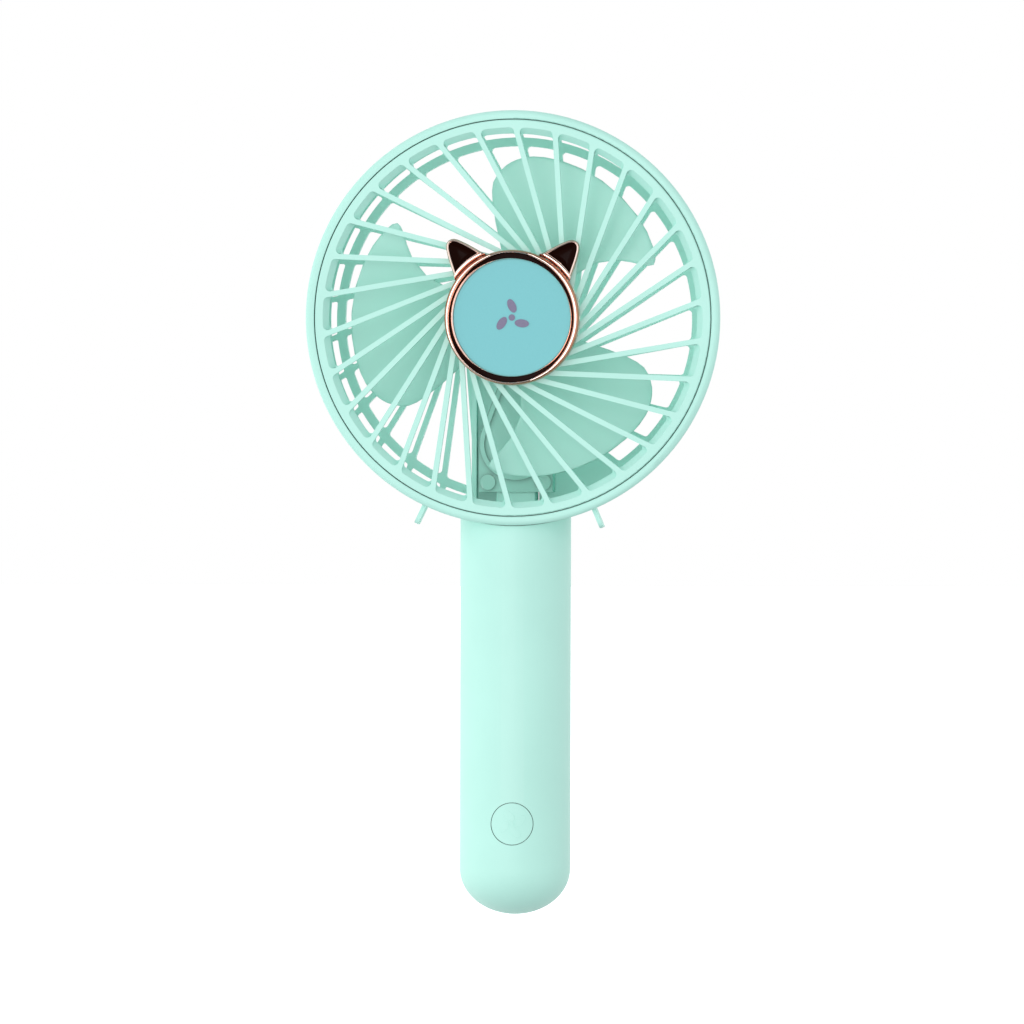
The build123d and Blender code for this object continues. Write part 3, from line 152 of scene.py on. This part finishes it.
def srgb(red, green, blue):
    """Linear colour from 0-255 sRGB values."""
    def linear(value):
        value /= 255
        return value / 12.92 if value <= 0.04045 else ((value + 0.055) / 1.055) ** 2.4
    return (linear(red), linear(green), linear(blue), 1.0)


def lighter(colour, amount):
    """The same colour moved toward white (or black, for a negative amount)."""
    target = 1.0 if amount > 0 else 0.0
    share = abs(amount)
    return tuple(c + (target - c) * share for c in colour[:3]) + (1.0,)


def scaled(colour, factor):
    """The same colour, brighter or darker in proportion."""
    return tuple(c * factor for c in colour[:3]) + (1.0,)


# ---- Materials --------------------------------------------------------------------------------
FLOW_MARKS = 0.02            # share by which flow marks vary the colour
PAINTED_SHADE_DARK = 0.35           # share of the colour left where the painted crease shade is darkest


def moulded_plastic(
    name, colour, roughness=0.4, grain=0.000002, shine=0.5, coat=0.0, wear=0.2,
    painted_crease_shade=0.0, open_at=0.6,
):
    """Injection-moulded plastic: fine grain, faint flow marks, rubbed edges, and painted shade
    darkening its creases.
    """
    shader = Shader(name)
    flow = shader.spread(shader.noise(45, 4.0), 0.0, 1.0)
    body = shader.mix(flow, scaled(colour, 1 - FLOW_MARKS), scaled(colour, 1 + FLOW_MARKS))
    # Painted shade: grooves and inner corners are darkened by the occlusion mask.
    if painted_crease_shade:
        body = shader.mix(shader.painted_crease_shade(painted_crease_shade, open_at), scaled(colour, PAINTED_SHADE_DARK), body)
    rubbed = shader.mix(shader.edge_wear(), body, lighter(colour, wear))
    shader.set(Base_Color=rubbed)
    shader.set(Roughness=shader.spread(shader.noise(900), roughness - 0.05, roughness + 0.05))
    shader.set(IOR=1.5, Specular_IOR_Level=shine, Coat_Weight=coat, Coat_Roughness=0.15)
    shader.bump(shader.noise(5200, 2.0), grain)
    return shader.material


def plated(name, colour, roughness=0.12, haze=0.05):
    """Polished plating with faint haze and hairline scratches."""
    shader = Shader(name)
    haze_map = shader.spread(shader.noise(500), roughness - haze / 2, roughness + haze)
    twist = {"Scale": 2600.0, "Detail": 1.0, "Distortion": 3.0}
    hair = shader.add("ShaderNodeTexNoise", Vector=shader.place, **twist)
    scratch = shader.spread(hair.outputs["Fac"], 0.0, 1.0, 0.62, 0.66)
    shader.set(Metallic=1.0, Roughness=haze_map)
    shader.set(Base_Color=shader.mix(scratch, colour, lighter(colour, 0.2)))
    shader.bump(scratch, 0.000002)
    return shader.material


def satin_paint(name, colour, other):
    """Satin lacquer with a fine pearl in it."""
    shader = Shader(name)
    flakes = shader.add("ShaderNodeTexVoronoi", Vector=shader.place, Scale=9000.0)
    pearl = shader.spread(flakes.outputs["Distance"], 0.0, 1.0, 0.1, 0.6)
    shader.set(Base_Color=shader.mix(pearl, colour, other), Roughness=0.45, Specular_IOR_Level=0.2)
    shader.bump(shader.noise(1500), 0.000003)
    return shader.material


def metal(name, colour, roughness=0.35, lines=3000.0):
    """Rolled or turned metal with fine drawing lines."""
    shader = Shader(name)
    stretch = shader.add("ShaderNodeMapping", Vector=shader.place)
    stretch.inputs["Scale"].default_value = (1.0, 1.0, 12.0)
    along = stretch.outputs["Vector"]
    grain = shader.add("ShaderNodeTexNoise", Vector=along, Scale=lines, Detail=2.0).outputs["Fac"]
    shader.set(Metallic=1.0, Roughness=shader.spread(grain, roughness - 0.1, roughness + 0.1))
    shader.set(Base_Color=shader.mix(grain, lighter(colour, -0.12), lighter(colour, 0.08)))
    shader.bump(grain, 0.000004)
    return shader.material


def dull(name, colour, roughness=0.6, scale=1800.0, relief=0.00002):
    """Rubber, foam, ferrite and other matt solids with a granular surface."""
    shader = Shader(name)
    grain = shader.noise(scale, 4.0, 0.6)
    shader.set(Base_Color=shader.mix(grain, lighter(colour, -0.2), lighter(colour, 0.1)))
    shader.set(Roughness=shader.spread(grain, roughness - 0.08, roughness + 0.08))
    shader.bump(grain, relief)
    return shader.material


def circuit_board(name):
    """Solder mask over copper tracks, with bare pads."""
    shader = Shader(name)
    tracks = shader.add("ShaderNodeTexBrick", Vector=shader.place, Scale=420.0)
    tracks.inputs["Mortar Size"].default_value = 0.03
    pads = shader.add("ShaderNodeTexVoronoi", Vector=shader.place, Scale=700.0)
    pad = shader.spread(pads.outputs["Distance"], 1.0, 0.0, 0.12, 0.16)
    mask = shader.mix(tracks.outputs["Fac"], srgb(10, 84, 44), srgb(24, 120, 64))
    shader.set(Base_Color=shader.mix(pad, mask, srgb(214, 190, 120)), Metallic=pad, Roughness=0.35)
    shader.bump(tracks.outputs["Fac"], 0.00003)
    return shader.material


def light_pipe(name):
    """Milky clear plastic."""
    shader = Shader(name)
    cloud = shader.noise(900)
    shader.set(Base_Color=srgb(236, 244, 244), Roughness=shader.spread(cloud, 0.15, 0.3))
    shader.set(Transmission_Weight=0.6, IOR=1.49)
    shader.bump(cloud, 0.000005)
    return shader.material


MINT = srgb(185, 236, 225)
# Painted shade: the blades' mint is darker because they sit in shade behind the grille.
SHADED_BLADE_MINT = srgb(172, 223, 211)
# Painted shade: a darker mint for the shaded hinge cover.
SHADED_RECESS_MINT = srgb(166, 217, 205)
# Painted reflection: near-black for the ring's groove and the ears' dishes, standing in for dark
# reflections in the plating.
DARK_REFLECTION = srgb(26, 8, 5)
looks = {
    # The mint plastic's crease setting paints shade into its grooves.
    "mint_plastic": moulded_plastic("mint_plastic", MINT, 0.5, shine=0.35, painted_crease_shade=0.0008),
    "mint_blade": moulded_plastic("mint_blade", SHADED_BLADE_MINT, 0.35, grain=0.000001, shine=0.3),
    "rose_gold": plated("rose_gold", srgb(205, 138, 110)),
    # The dark inlay look is a painted dark reflection.
    "dark_inlay": moulded_plastic("dark_inlay", DARK_REFLECTION, 0.12, grain=0.0000002, shine=0.02, wear=0.0),
    "teal_disc": satin_paint("teal_disc", srgb(118, 191, 197), srgb(126, 198, 204)),
    "mauve_print": dull("mauve_print", srgb(112, 104, 140), 0.5, 3000.0, 0.000004),
    "steel": metal("steel", srgb(190, 190, 194)),
    "dark_steel": metal("dark_steel", srgb(120, 120, 124), 0.25, 5000.0),
    "screw_steel": metal("screw_steel", srgb(170, 170, 172), 0.3, 4000.0),
    "black_plastic": moulded_plastic("black_plastic", srgb(24, 24, 26), 0.5),
    "ferrite": dull("ferrite", srgb(40, 40, 43), 0.55),
    "bronze": metal("bronze", srgb(176, 128, 74), 0.4, 2400.0),
    "copper": metal("copper", srgb(200, 112, 70), 0.3, 5200.0),
    "lamination": metal("lamination", srgb(120, 118, 116), 0.5, 900.0),
    "tin": metal("tin", srgb(204, 202, 192), 0.3),
    "red_wire": dull("red_wire", srgb(190, 30, 24), 0.45, 2500.0, 0.000006),
    "white_plastic": moulded_plastic("white_plastic", srgb(236, 236, 230), 0.4),
    "cell_wrap": moulded_plastic("cell_wrap", srgb(40, 92, 176), 0.25, grain=0.00001, coat=0.3),
    "foam": dull("foam", srgb(28, 28, 28), 0.9, 3600.0, 0.00008),
    "circuit_board": circuit_board("circuit_board"),
    "chip": moulded_plastic("chip", srgb(26, 26, 28), 0.55, grain=0.00001),
    "clear_led": light_pipe("clear_led"),
}
# Painted highlight: a near-white plating on the ring's crest, the bead and the ears' crests, where
# bright reflections fall.
painted_highlight_plating = plated("painted_highlight_plating", srgb(252, 226, 214), roughness=0.05)
# The hinge cover gets painted shade: a darker mint for the shade it sits in behind the blades, with
# stronger painted crease shade.
mint_painted_shade = moulded_plastic(
    "mint_painted_shade", SHADED_RECESS_MINT, 0.5, shine=0.3, painted_crease_shade=0.0015, open_at=0.97
)

for row in frame["record"]["subparts"]:
    mesh = nodes[row["node"]].data
    mesh.materials.clear()
    mesh.materials.append(looks[row["material_slot"]])
nodes["hinge_cover"].data.materials[0] = mint_painted_shade


# ---- Pieces built as smooth meshes, in millimetres on the head --------------------------------
SHARP_ANGLE = radians(50)    # edges that turn more than this stay sharp


def head_point(across, up, height):
    """A point of the head in the frame, in metres."""
    return Vector((across * MM, -height * MM, HEAD_Z + up * MM))


def round_point(radius, angle, height):
    """The same from a radius and an angle in radians."""
    return head_point(radius * cos(angle), radius * sin(angle), height)


def mesh_of(name, form):
    """A mesh of a bmesh, which is used up."""
    mesh = bpy.data.meshes.new(name)
    form.to_mesh(mesh)
    form.free()
    return mesh


def place_object(name, data):
    """An object of a mesh, lamp or camera, in the scene."""
    made = bpy.data.objects.new(name, data)
    bpy.context.scene.collection.objects.link(made)
    return made


def add_piece(name, form, materials, body, replaced):
    """Makes an object of a bmesh, smooth but for its sharp edges, in the place of CAD nodes."""
    bmesh.ops.recalc_face_normals(form, faces=form.faces)
    mesh = mesh_of(name, form)
    for polygon in mesh.polygons:
        polygon.use_smooth = True
    mesh.set_sharp_from_angle(angle=SHARP_ANGLE)
    for material in materials:
        mesh.materials.append(material)
    piece = place_object(name, mesh)
    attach(piece, body)
    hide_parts(*replaced)


def skin(form, rows, closed=True, material=0):
    """Quads between rows of points; closed joins each row's end to its start."""
    made = [[form.verts.new(point) for point in row] for row in rows]
    for first, second in zip(made, made[1:]):
        count = len(first)
        for index in range(count if closed else count - 1):
            after = (index + 1) % count
            face = form.faces.new((first[index], first[after], second[after], second[index]))
            face.material_index = material
    return made


STEPS = 144
CIRCLE = [2 * pi * step / STEPS for step in range(STEPS)]


# ---- Badge ring and its ears ------------------------------------------------------------------
PLATED, PAINTED_HIGHLIGHT, PAINTED_REFLECTION_DARK = 0, 1, 2     # places of the badge's materials: plating, painted highlight, painted dark reflection
BADGE_R = 16.9
DISC_R = 14.6
GROOVE = 19.35               # height of the groove's floor
LIP_WALL = (                 # share of the way in across the lip, and height
    (0.8, 16.0), (0.1, 16.0), (0.0, 16.3), (0.0, 19.2), (0.08, 19.7), (0.22, 20.0), (0.42, 20.24),
)
LIP_CREST = ((0.56, 20.3), (0.7, 20.24), (0.82, 20.1))
LIP_BROW = ((0.93, 19.9), (1.0, 19.65))
BEAD_ROUND = (               # share of the way out across the bead, and height
    (0.85, GROOVE + 0.2), (0.5, GROOVE + 0.32), (0.15, GROOVE + 0.15), (0.0, 18.0),
)
# These two tables shape the groove's painted dark reflection: wider at top and bottom, thinner at
# the sides.
BEAD_EDGE = (                # outer radius of the bead round the disc, every 20 degrees
    15.10, 14.98, 14.88, 14.85, 14.88, 15.05, 15.20, 15.38, 15.40,
    15.38, 15.36, 15.28, 15.10, 14.92, 14.90, 15.05, 15.18, 15.16,
)
LIP_EDGE = (                 # inner radius of the lip outside the groove's painted dark reflection, every 20 degrees
    15.42, 15.42, 15.45, 15.60, 16.05, 16.15, 15.85, 15.68, 15.66,
    15.72, 15.92, 16.10, 16.15, 16.15, 16.05, 15.75, 15.52, 15.42,
)


def edge_at(table, angle):
    """Smooth value of a table of radii at an angle in radians."""
    share = (angle / (2 * pi) * len(table)) % len(table)
    index = int(share)
    blend = 0.5 - 0.5 * cos(pi * (share - index))
    return table[index] * (1 - blend) + table[(index + 1) % len(table)] * blend


def badge_ring():
    """Rounded lip, groove and fine bead round the disc; the crest and bead carry a painted
    highlight, the groove a painted dark reflection.
    """
    form = bmesh.new()

    def circle(radius_of, height):
        """A closed row of points whose radius depends on the angle."""
        return [round_point(radius_of(a), a, height) for a in CIRCLE]

    def lip(share, height):
        """A circle between the lip's outer and inner edges."""
        return circle(lambda a: BADGE_R - share * (BADGE_R - edge_at(LIP_EDGE, a)), height)

    def bead(share, height):
        """A circle between the disc and the bead's outer edge."""
        return circle(lambda a: DISC_R + share * (edge_at(BEAD_EDGE, a) - DISC_R), height)

    wall = [lip(share, height) for share, height in LIP_WALL]
    skin(form, wall, material=PLATED)
    crest = [wall[-1]] + [lip(share, height) for share, height in LIP_CREST]
    skin(form, crest, material=PAINTED_HIGHLIGHT)
    brow = [crest[-1]] + [lip(share, height) for share, height in LIP_BROW]
    skin(form, brow, material=PLATED)
    groove = [brow[-1], lip(1.05, GROOVE + 0.1), bead(1.15, GROOVE), bead(1.0, GROOVE)]
    skin(form, groove, material=PAINTED_REFLECTION_DARK)
    beads = [groove[-1]] + [bead(share, height) for share, height in BEAD_ROUND]
    skin(form, beads, material=PAINTED_HIGHLIGHT)
    for angle in EAR_ANGLES:
        ear(form, radians(angle))
    bmesh.ops.remove_doubles(form, verts=form.verts, dist=WELD)
    materials = [looks["rose_gold"], painted_highlight_plating, looks["dark_inlay"]]
    replaced = ["badge_ring", "ear_inserts"]
    add_piece("badge_ring_visual", form, materials, "head", replaced)


EAR_ANGLES = (49.5, 129.5)
EAR_MIDDLE = Vector((20.0, 0.0))
EAR_SIDE = (                 # half an ear from the ring to the tip: along its middle, and across
    (16.22, 5.08), (17.0, 4.72), (18.0, 4.3), (19.6, 3.7), (21.3, 3.02), (22.6, 2.42), (23.7, 1.85),
    (24.4, 1.3), (24.8, 0.65), (24.93, 0.0),
)
EAR_FOOT_R = 17.0
EAR_FOOT_SPREAD = radians(17.4)
EAR_FOOT_STEPS = 8
EAR_FOOT_INSET = 1.8         # the dish stays further from the ring than from the ear's sides
EAR_CORNER_INSET = EAR_FOOT_INSET * 0.9
EAR_BASE = 16.2
EAR_TOP = 19.5
EAR_WALL = (                 # inset and height
    (0.2, EAR_BASE), (0.0, EAR_BASE + 0.25),
    (0.0, EAR_TOP - 0.75), (0.06, EAR_TOP - 0.4), (0.18, EAR_TOP - 0.15),
)
EAR_CREST = ((0.38, EAR_TOP), (0.58, EAR_TOP - 0.12), (0.72, EAR_TOP - 0.4))
EAR_DISH_INSET = 0.72
EAR_DISH = (                 # height, and how far it shrinks to the ear's middle
    (EAR_TOP - 0.7, 0.12), (EAR_TOP - 1.0, 0.4), (EAR_TOP - 1.1, 0.7),
)


def ear_outline():
    """Closed outline of an ear, with how strongly each point moves inward."""
    side = [(Vector(point), 1.0) for point in EAR_SIDE]
    side[0] = (side[0][0], EAR_CORNER_INSET)
    other = [(Vector((point.x, -point.y)), pull) for point, pull in reversed(side[:-1])]
    foot = []
    for step in range(1, EAR_FOOT_STEPS):
        angle = EAR_FOOT_SPREAD * (2 * step / EAR_FOOT_STEPS - 1)
        foot.append((Vector((EAR_FOOT_R * cos(angle), EAR_FOOT_R * sin(angle))), EAR_FOOT_INSET))
    return side + other + foot


def ear_loop(inset, height, turn, shrink=0.0):
    """The ear's outline at an inset and a height, shrunk to its middle and turned to its place."""
    outline = ear_outline()
    loop = []
    for index, (point, pull) in enumerate(outline):
        before = outline[index - 1][0]
        after = outline[(index + 1) % len(outline)][0]
        run = (after - before).normalized()
        moved = point + Vector((run.y, -run.x)) * inset * pull
        moved = moved.lerp(EAR_MIDDLE, shrink)
        loop.append(head_point(
            moved.x * cos(turn) - moved.y * sin(turn),
            moved.x * sin(turn) + moved.y * cos(turn),
            height,
        ))
    return loop


def ear(form, turn):
    """Hollow cat ear: rounded rose-gold rim, a crest with a painted highlight and a dish painted as
    a dark reflection.
    """
    wall = [ear_loop(inset, height, turn) for inset, height in EAR_WALL]
    skin(form, wall, material=PLATED)
    crest = [wall[-1]] + [ear_loop(inset, height, turn) for inset, height in EAR_CREST]
    skin(form, crest, material=PAINTED_HIGHLIGHT)
    dish = [crest[-1]]
    dish += [ear_loop(EAR_DISH_INSET, height, turn, shrink) for height, shrink in EAR_DISH]
    made = skin(form, dish, material=PAINTED_REFLECTION_DARK)
    form.faces.new(made[-1]).material_index = PAINTED_REFLECTION_DARK
    form.faces.new([form.verts.new(point) for point in wall[0]])


# ---- Impeller ---------------------------------------------------------------------------------
BLADE_EDGES = (              # radius, angle of the leading edge, angle of the trailing edge
    (14.0, 100.0, 34.0), (19.0, 100.2, 33.6), (24.5, 100.3, 32.5), (29.5, 99.8, 28.0),
    (32.5, 99.0, 24.0), (34.6, 97.9, 21.2), (36.3, 95.9, 19.6), (37.6, 93.7, 19.3),
    (38.5, 92.0, 21.0), (39.2, 90.2, 25.0), (39.8, 88.2, 31.5), (40.2, 86.5, 38.0),
    (40.6, 84.8, 47.0), (40.9, 82.2, 56.0), (41.1, 78.5, 64.0), (41.2, 73.0, 71.0),
)
BLADE_TURNS = (1.5, 121.5, 241.5)
BLADE_T = 1.1
BLADE_ACROSS = 36            # steps from a blade's leading to its trailing edge
BLADE_LOW = 4.35             # height of a blade's middle plane at BLADE_START
BLADE_START = 101.0
BLADE_SPAN = 82.0            # degrees over which the blade rises by BLADE_RISE
BLADE_RISE = 7.8
TIP_START = 38.5             # radius from which a blade thins towards its tip
TIP_LENGTH = 2.7
EDGE_ROUND = 8               # the higher, the blunter the blade's edge
HUB_PROFILE = (              # radius and height
    (1.0, 5.4), (3.2, 5.4), (3.2, 11.5), (13.2, 11.5), (13.2, 4.6), (14.5, 4.6), (14.5, 11.6),
    (14.42, 12.1), (14.15, 12.5), (13.8, 12.72), (13.4, 12.8), (1.0, 12.8), (1.0, 5.4),
)


def blade_height(angle):
    """The blade rises evenly from its leading to its trailing edge."""
    return BLADE_LOW + BLADE_RISE * (BLADE_START - angle) / BLADE_SPAN


def blade(form, turn):
    """One twisted blade with rounded edges, its two faces meeting all round."""
    for side in (-1, 1):
        rows = []
        for radius, lead, trail in BLADE_EDGES:
            tip = max(0.0, (radius - TIP_START) / TIP_LENGTH)
            row = []
            for step in range(BLADE_ACROSS + 1):
                share = 0.5 - 0.5 * cos(pi * step / BLADE_ACROSS)
                angle = lead + (trail - lead) * share
                edge = max(abs(2 * share - 1), tip)
                half = BLADE_T / 2 * sqrt(max(0.0, 1 - edge ** EDGE_ROUND))
                height = blade_height(angle) + side * half
                row.append(round_point(radius, radians(angle + turn), height))
            rows.append(row)
        skin(form, rows, closed=False)


def impeller():
    """Three blades on a smooth hub."""
    form = bmesh.new()
    for turn in BLADE_TURNS:
        blade(form, turn)
    bmesh.ops.remove_doubles(form, verts=form.verts, dist=WELD)
    skin(form, [[round_point(radius, a, height) for a in CIRCLE] for radius, height in HUB_PROFILE])
    bmesh.ops.remove_doubles(form, verts=form.verts, dist=WELD)
    add_piece("impeller_visual", form, [looks["mint_blade"]], "rotor", ["impeller"])


badge_ring()
impeller()


# ---- Stage: floor, light and camera -----------------------------------------------------------
WHITE = (1, 1, 1, 1)
CORNERS = ((-1, -1), (1, -1), (1, 1), (-1, 1))
FLOOR_REACH = 12.0
FLOOR_GAP = 0.0005           # the floor lies this far below the handle
FLOOR_GLOW = 0.8             # keeps the floor white where the lamps don't reach
ROOM_SLANT = (-0.1875, 0.24, 0.06)   # how much brighter the room is towards +X, +Y and +Z
ROOM_LEVEL = 1.21
ROOM_DIM = 0.86              # how much dimmer it is straight up and straight down
KEY_LIGHT = {"place": (-0.8, -2.2, 0.6), "size": 1.4, "power": 6.0}
FILL_LIGHT = {"place": (-0.5, -2.4, 0.2), "size": 1.0, "power": 11.0}
FLAG_SIZE = (1.6, 0.9)
FLAG_AHEAD = 0.9             # in front of the head, and as far above or below it
SENSOR_WIDTH = 36.0
CAMERA_AZIMUTH = radians(3.45)
CAMERA_ROLL = radians(0.14)
CAMERA_DISTANCE = 2.7
VIEW_WIDTH = 0.2560          # metres across the picture at the point looked at
LOOK_X = -0.00005
LOOK_Z = 0.04544
LOOK_BEHIND = 0.003          # behind the badge's face


def area_light(name, place, size, power):
    """A soft square light aimed at the middle of the head."""
    data = bpy.data.lights.new(name, "AREA")
    data.shape = "SQUARE"
    data.size = size
    data.energy = power
    lamp = place_object(name, data)
    lamp.location = place
    aim = Vector((0, 0, HEAD_Z)) - Vector(place)
    lamp.rotation_euler = aim.to_track_quat("-Z", "Y").to_euler()
    return lamp


def floor():
    """A plain white floor, far wider than the picture."""
    form = bmesh.new()
    level = HANDLE_BOTTOM - FLOOR_GAP
    form.faces.new([form.verts.new((x * FLOOR_REACH, y * FLOOR_REACH, level)) for x, y in CORNERS])
    mesh = mesh_of("floor", form)
    shader = Shader("floor")
    paper = shader.noise(40)
    shader.set(Base_Color=shader.mix(paper, (0.78, 0.78, 0.78, 1), (0.8, 0.8, 0.8, 1)))
    shader.set(Roughness=0.9, Emission_Color=WHITE, Emission_Strength=FLOOR_GLOW)
    mesh.materials.append(shader.material)
    ground = place_object("floor", mesh)
    ground.visible_diffuse = False
    ground.visible_glossy = False


def math_node(tree, operation, first, second):
    """A maths node of a tree, from sockets or numbers."""
    node = tree.nodes.new("ShaderNodeMath")
    node.operation = operation
    for socket, value in zip(node.inputs, (first, second)):
        if isinstance(value, bpy.types.NodeSocket):
            tree.links.new(value, socket)
        else:
            socket.default_value = value
    return node.outputs[0]


def studio():
    """A white room: brighter left and behind, dimmer above and below, white to the camera."""
    world = bpy.data.worlds.new("studio")
    world.use_nodes = True
    tree = world.node_tree
    background = tree.nodes["Background"]
    place = tree.nodes.new("ShaderNodeTexCoord")
    apart = tree.nodes.new("ShaderNodeSeparateXYZ")
    tree.links.new(place.outputs["Generated"], apart.inputs["Vector"])
    slant = tree.nodes.new("ShaderNodeVectorMath")
    slant.operation = "DOT_PRODUCT"
    slant.inputs[1].default_value = ROOM_SLANT
    tree.links.new(place.outputs["Generated"], slant.inputs[0])
    steep = math_node(tree, "MULTIPLY", apart.outputs["Z"], apart.outputs["Z"])
    dimmed = math_node(tree, "MULTIPLY", steep, -ROOM_DIM)
    level = math_node(tree, "ADD", slant.outputs["Value"], dimmed)
    level = math_node(tree, "ADD", level, ROOM_LEVEL)
    seen = tree.nodes.new("ShaderNodeLightPath")
    plain = tree.nodes.new("ShaderNodeMix")
    plain.inputs["B"].default_value = 1.0
    tree.links.new(level, plain.inputs["A"])
    tree.links.new(seen.outputs["Is Camera Ray"], plain.inputs["Factor"])
    tree.links.new(plain.outputs["Result"], background.inputs["Strength"])
    background.inputs["Color"].default_value = WHITE
    bpy.context.scene.world = world
    bpy.context.scene.view_settings.view_transform = "Standard"


def flag(name, place):
    """A black card that only reflections see, so that the plated ring has dark bands."""
    width, height = FLAG_SIZE
    form = bmesh.new()
    form.faces.new([form.verts.new((x * width / 2, 0, z * height / 2)) for x, z in CORNERS])
    mesh = mesh_of(name, form)
    shader = Shader(name)
    shader.set(Base_Color=(0.01, 0.01, 0.01, 1), Roughness=1.0, Specular_IOR_Level=0.0)
    mesh.materials.append(shader.material)
    card = place_object(name, mesh)
    card.location = place
    aim = Vector((0, FACE_Y, HEAD_Z)) - Vector(place)
    card.rotation_euler = aim.to_track_quat("Y", "Z").to_euler()
    card.visible_camera = False
    card.visible_diffuse = False
    card.visible_shadow = False


floor()
studio()
area_light("key", **KEY_LIGHT)
fill = area_light("fill", **FILL_LIGHT)
fill.data.use_shadow = False
flag("flag_top", (0.0, -FLAG_AHEAD, HEAD_Z + FLAG_AHEAD))
flag("flag_bottom", (0.0, -FLAG_AHEAD, HEAD_Z - FLAG_AHEAD))

look_at = Vector((LOOK_X, FACE_Y + LOOK_BEHIND, LOOK_Z))
away = Vector((sin(CAMERA_AZIMUTH), -cos(CAMERA_AZIMUTH), 0.0))
camera_data = bpy.data.cameras.new("camera")
camera_data.sensor_width = SENSOR_WIDTH
camera_data.lens = SENSOR_WIDTH * CAMERA_DISTANCE / VIEW_WIDTH
camera_data.clip_end = 20.0
camera = place_object("camera", camera_data)
camera.matrix_world = (
    Matrix.Translation(look_at + away * CAMERA_DISTANCE)
    @ Matrix.Rotation(CAMERA_AZIMUTH, 4, "Z")
    @ Matrix.Rotation(pi / 2, 4, "X")
    @ Matrix.Rotation(CAMERA_ROLL, 4, "Z")
)
bpy.context.scene.camera = camera
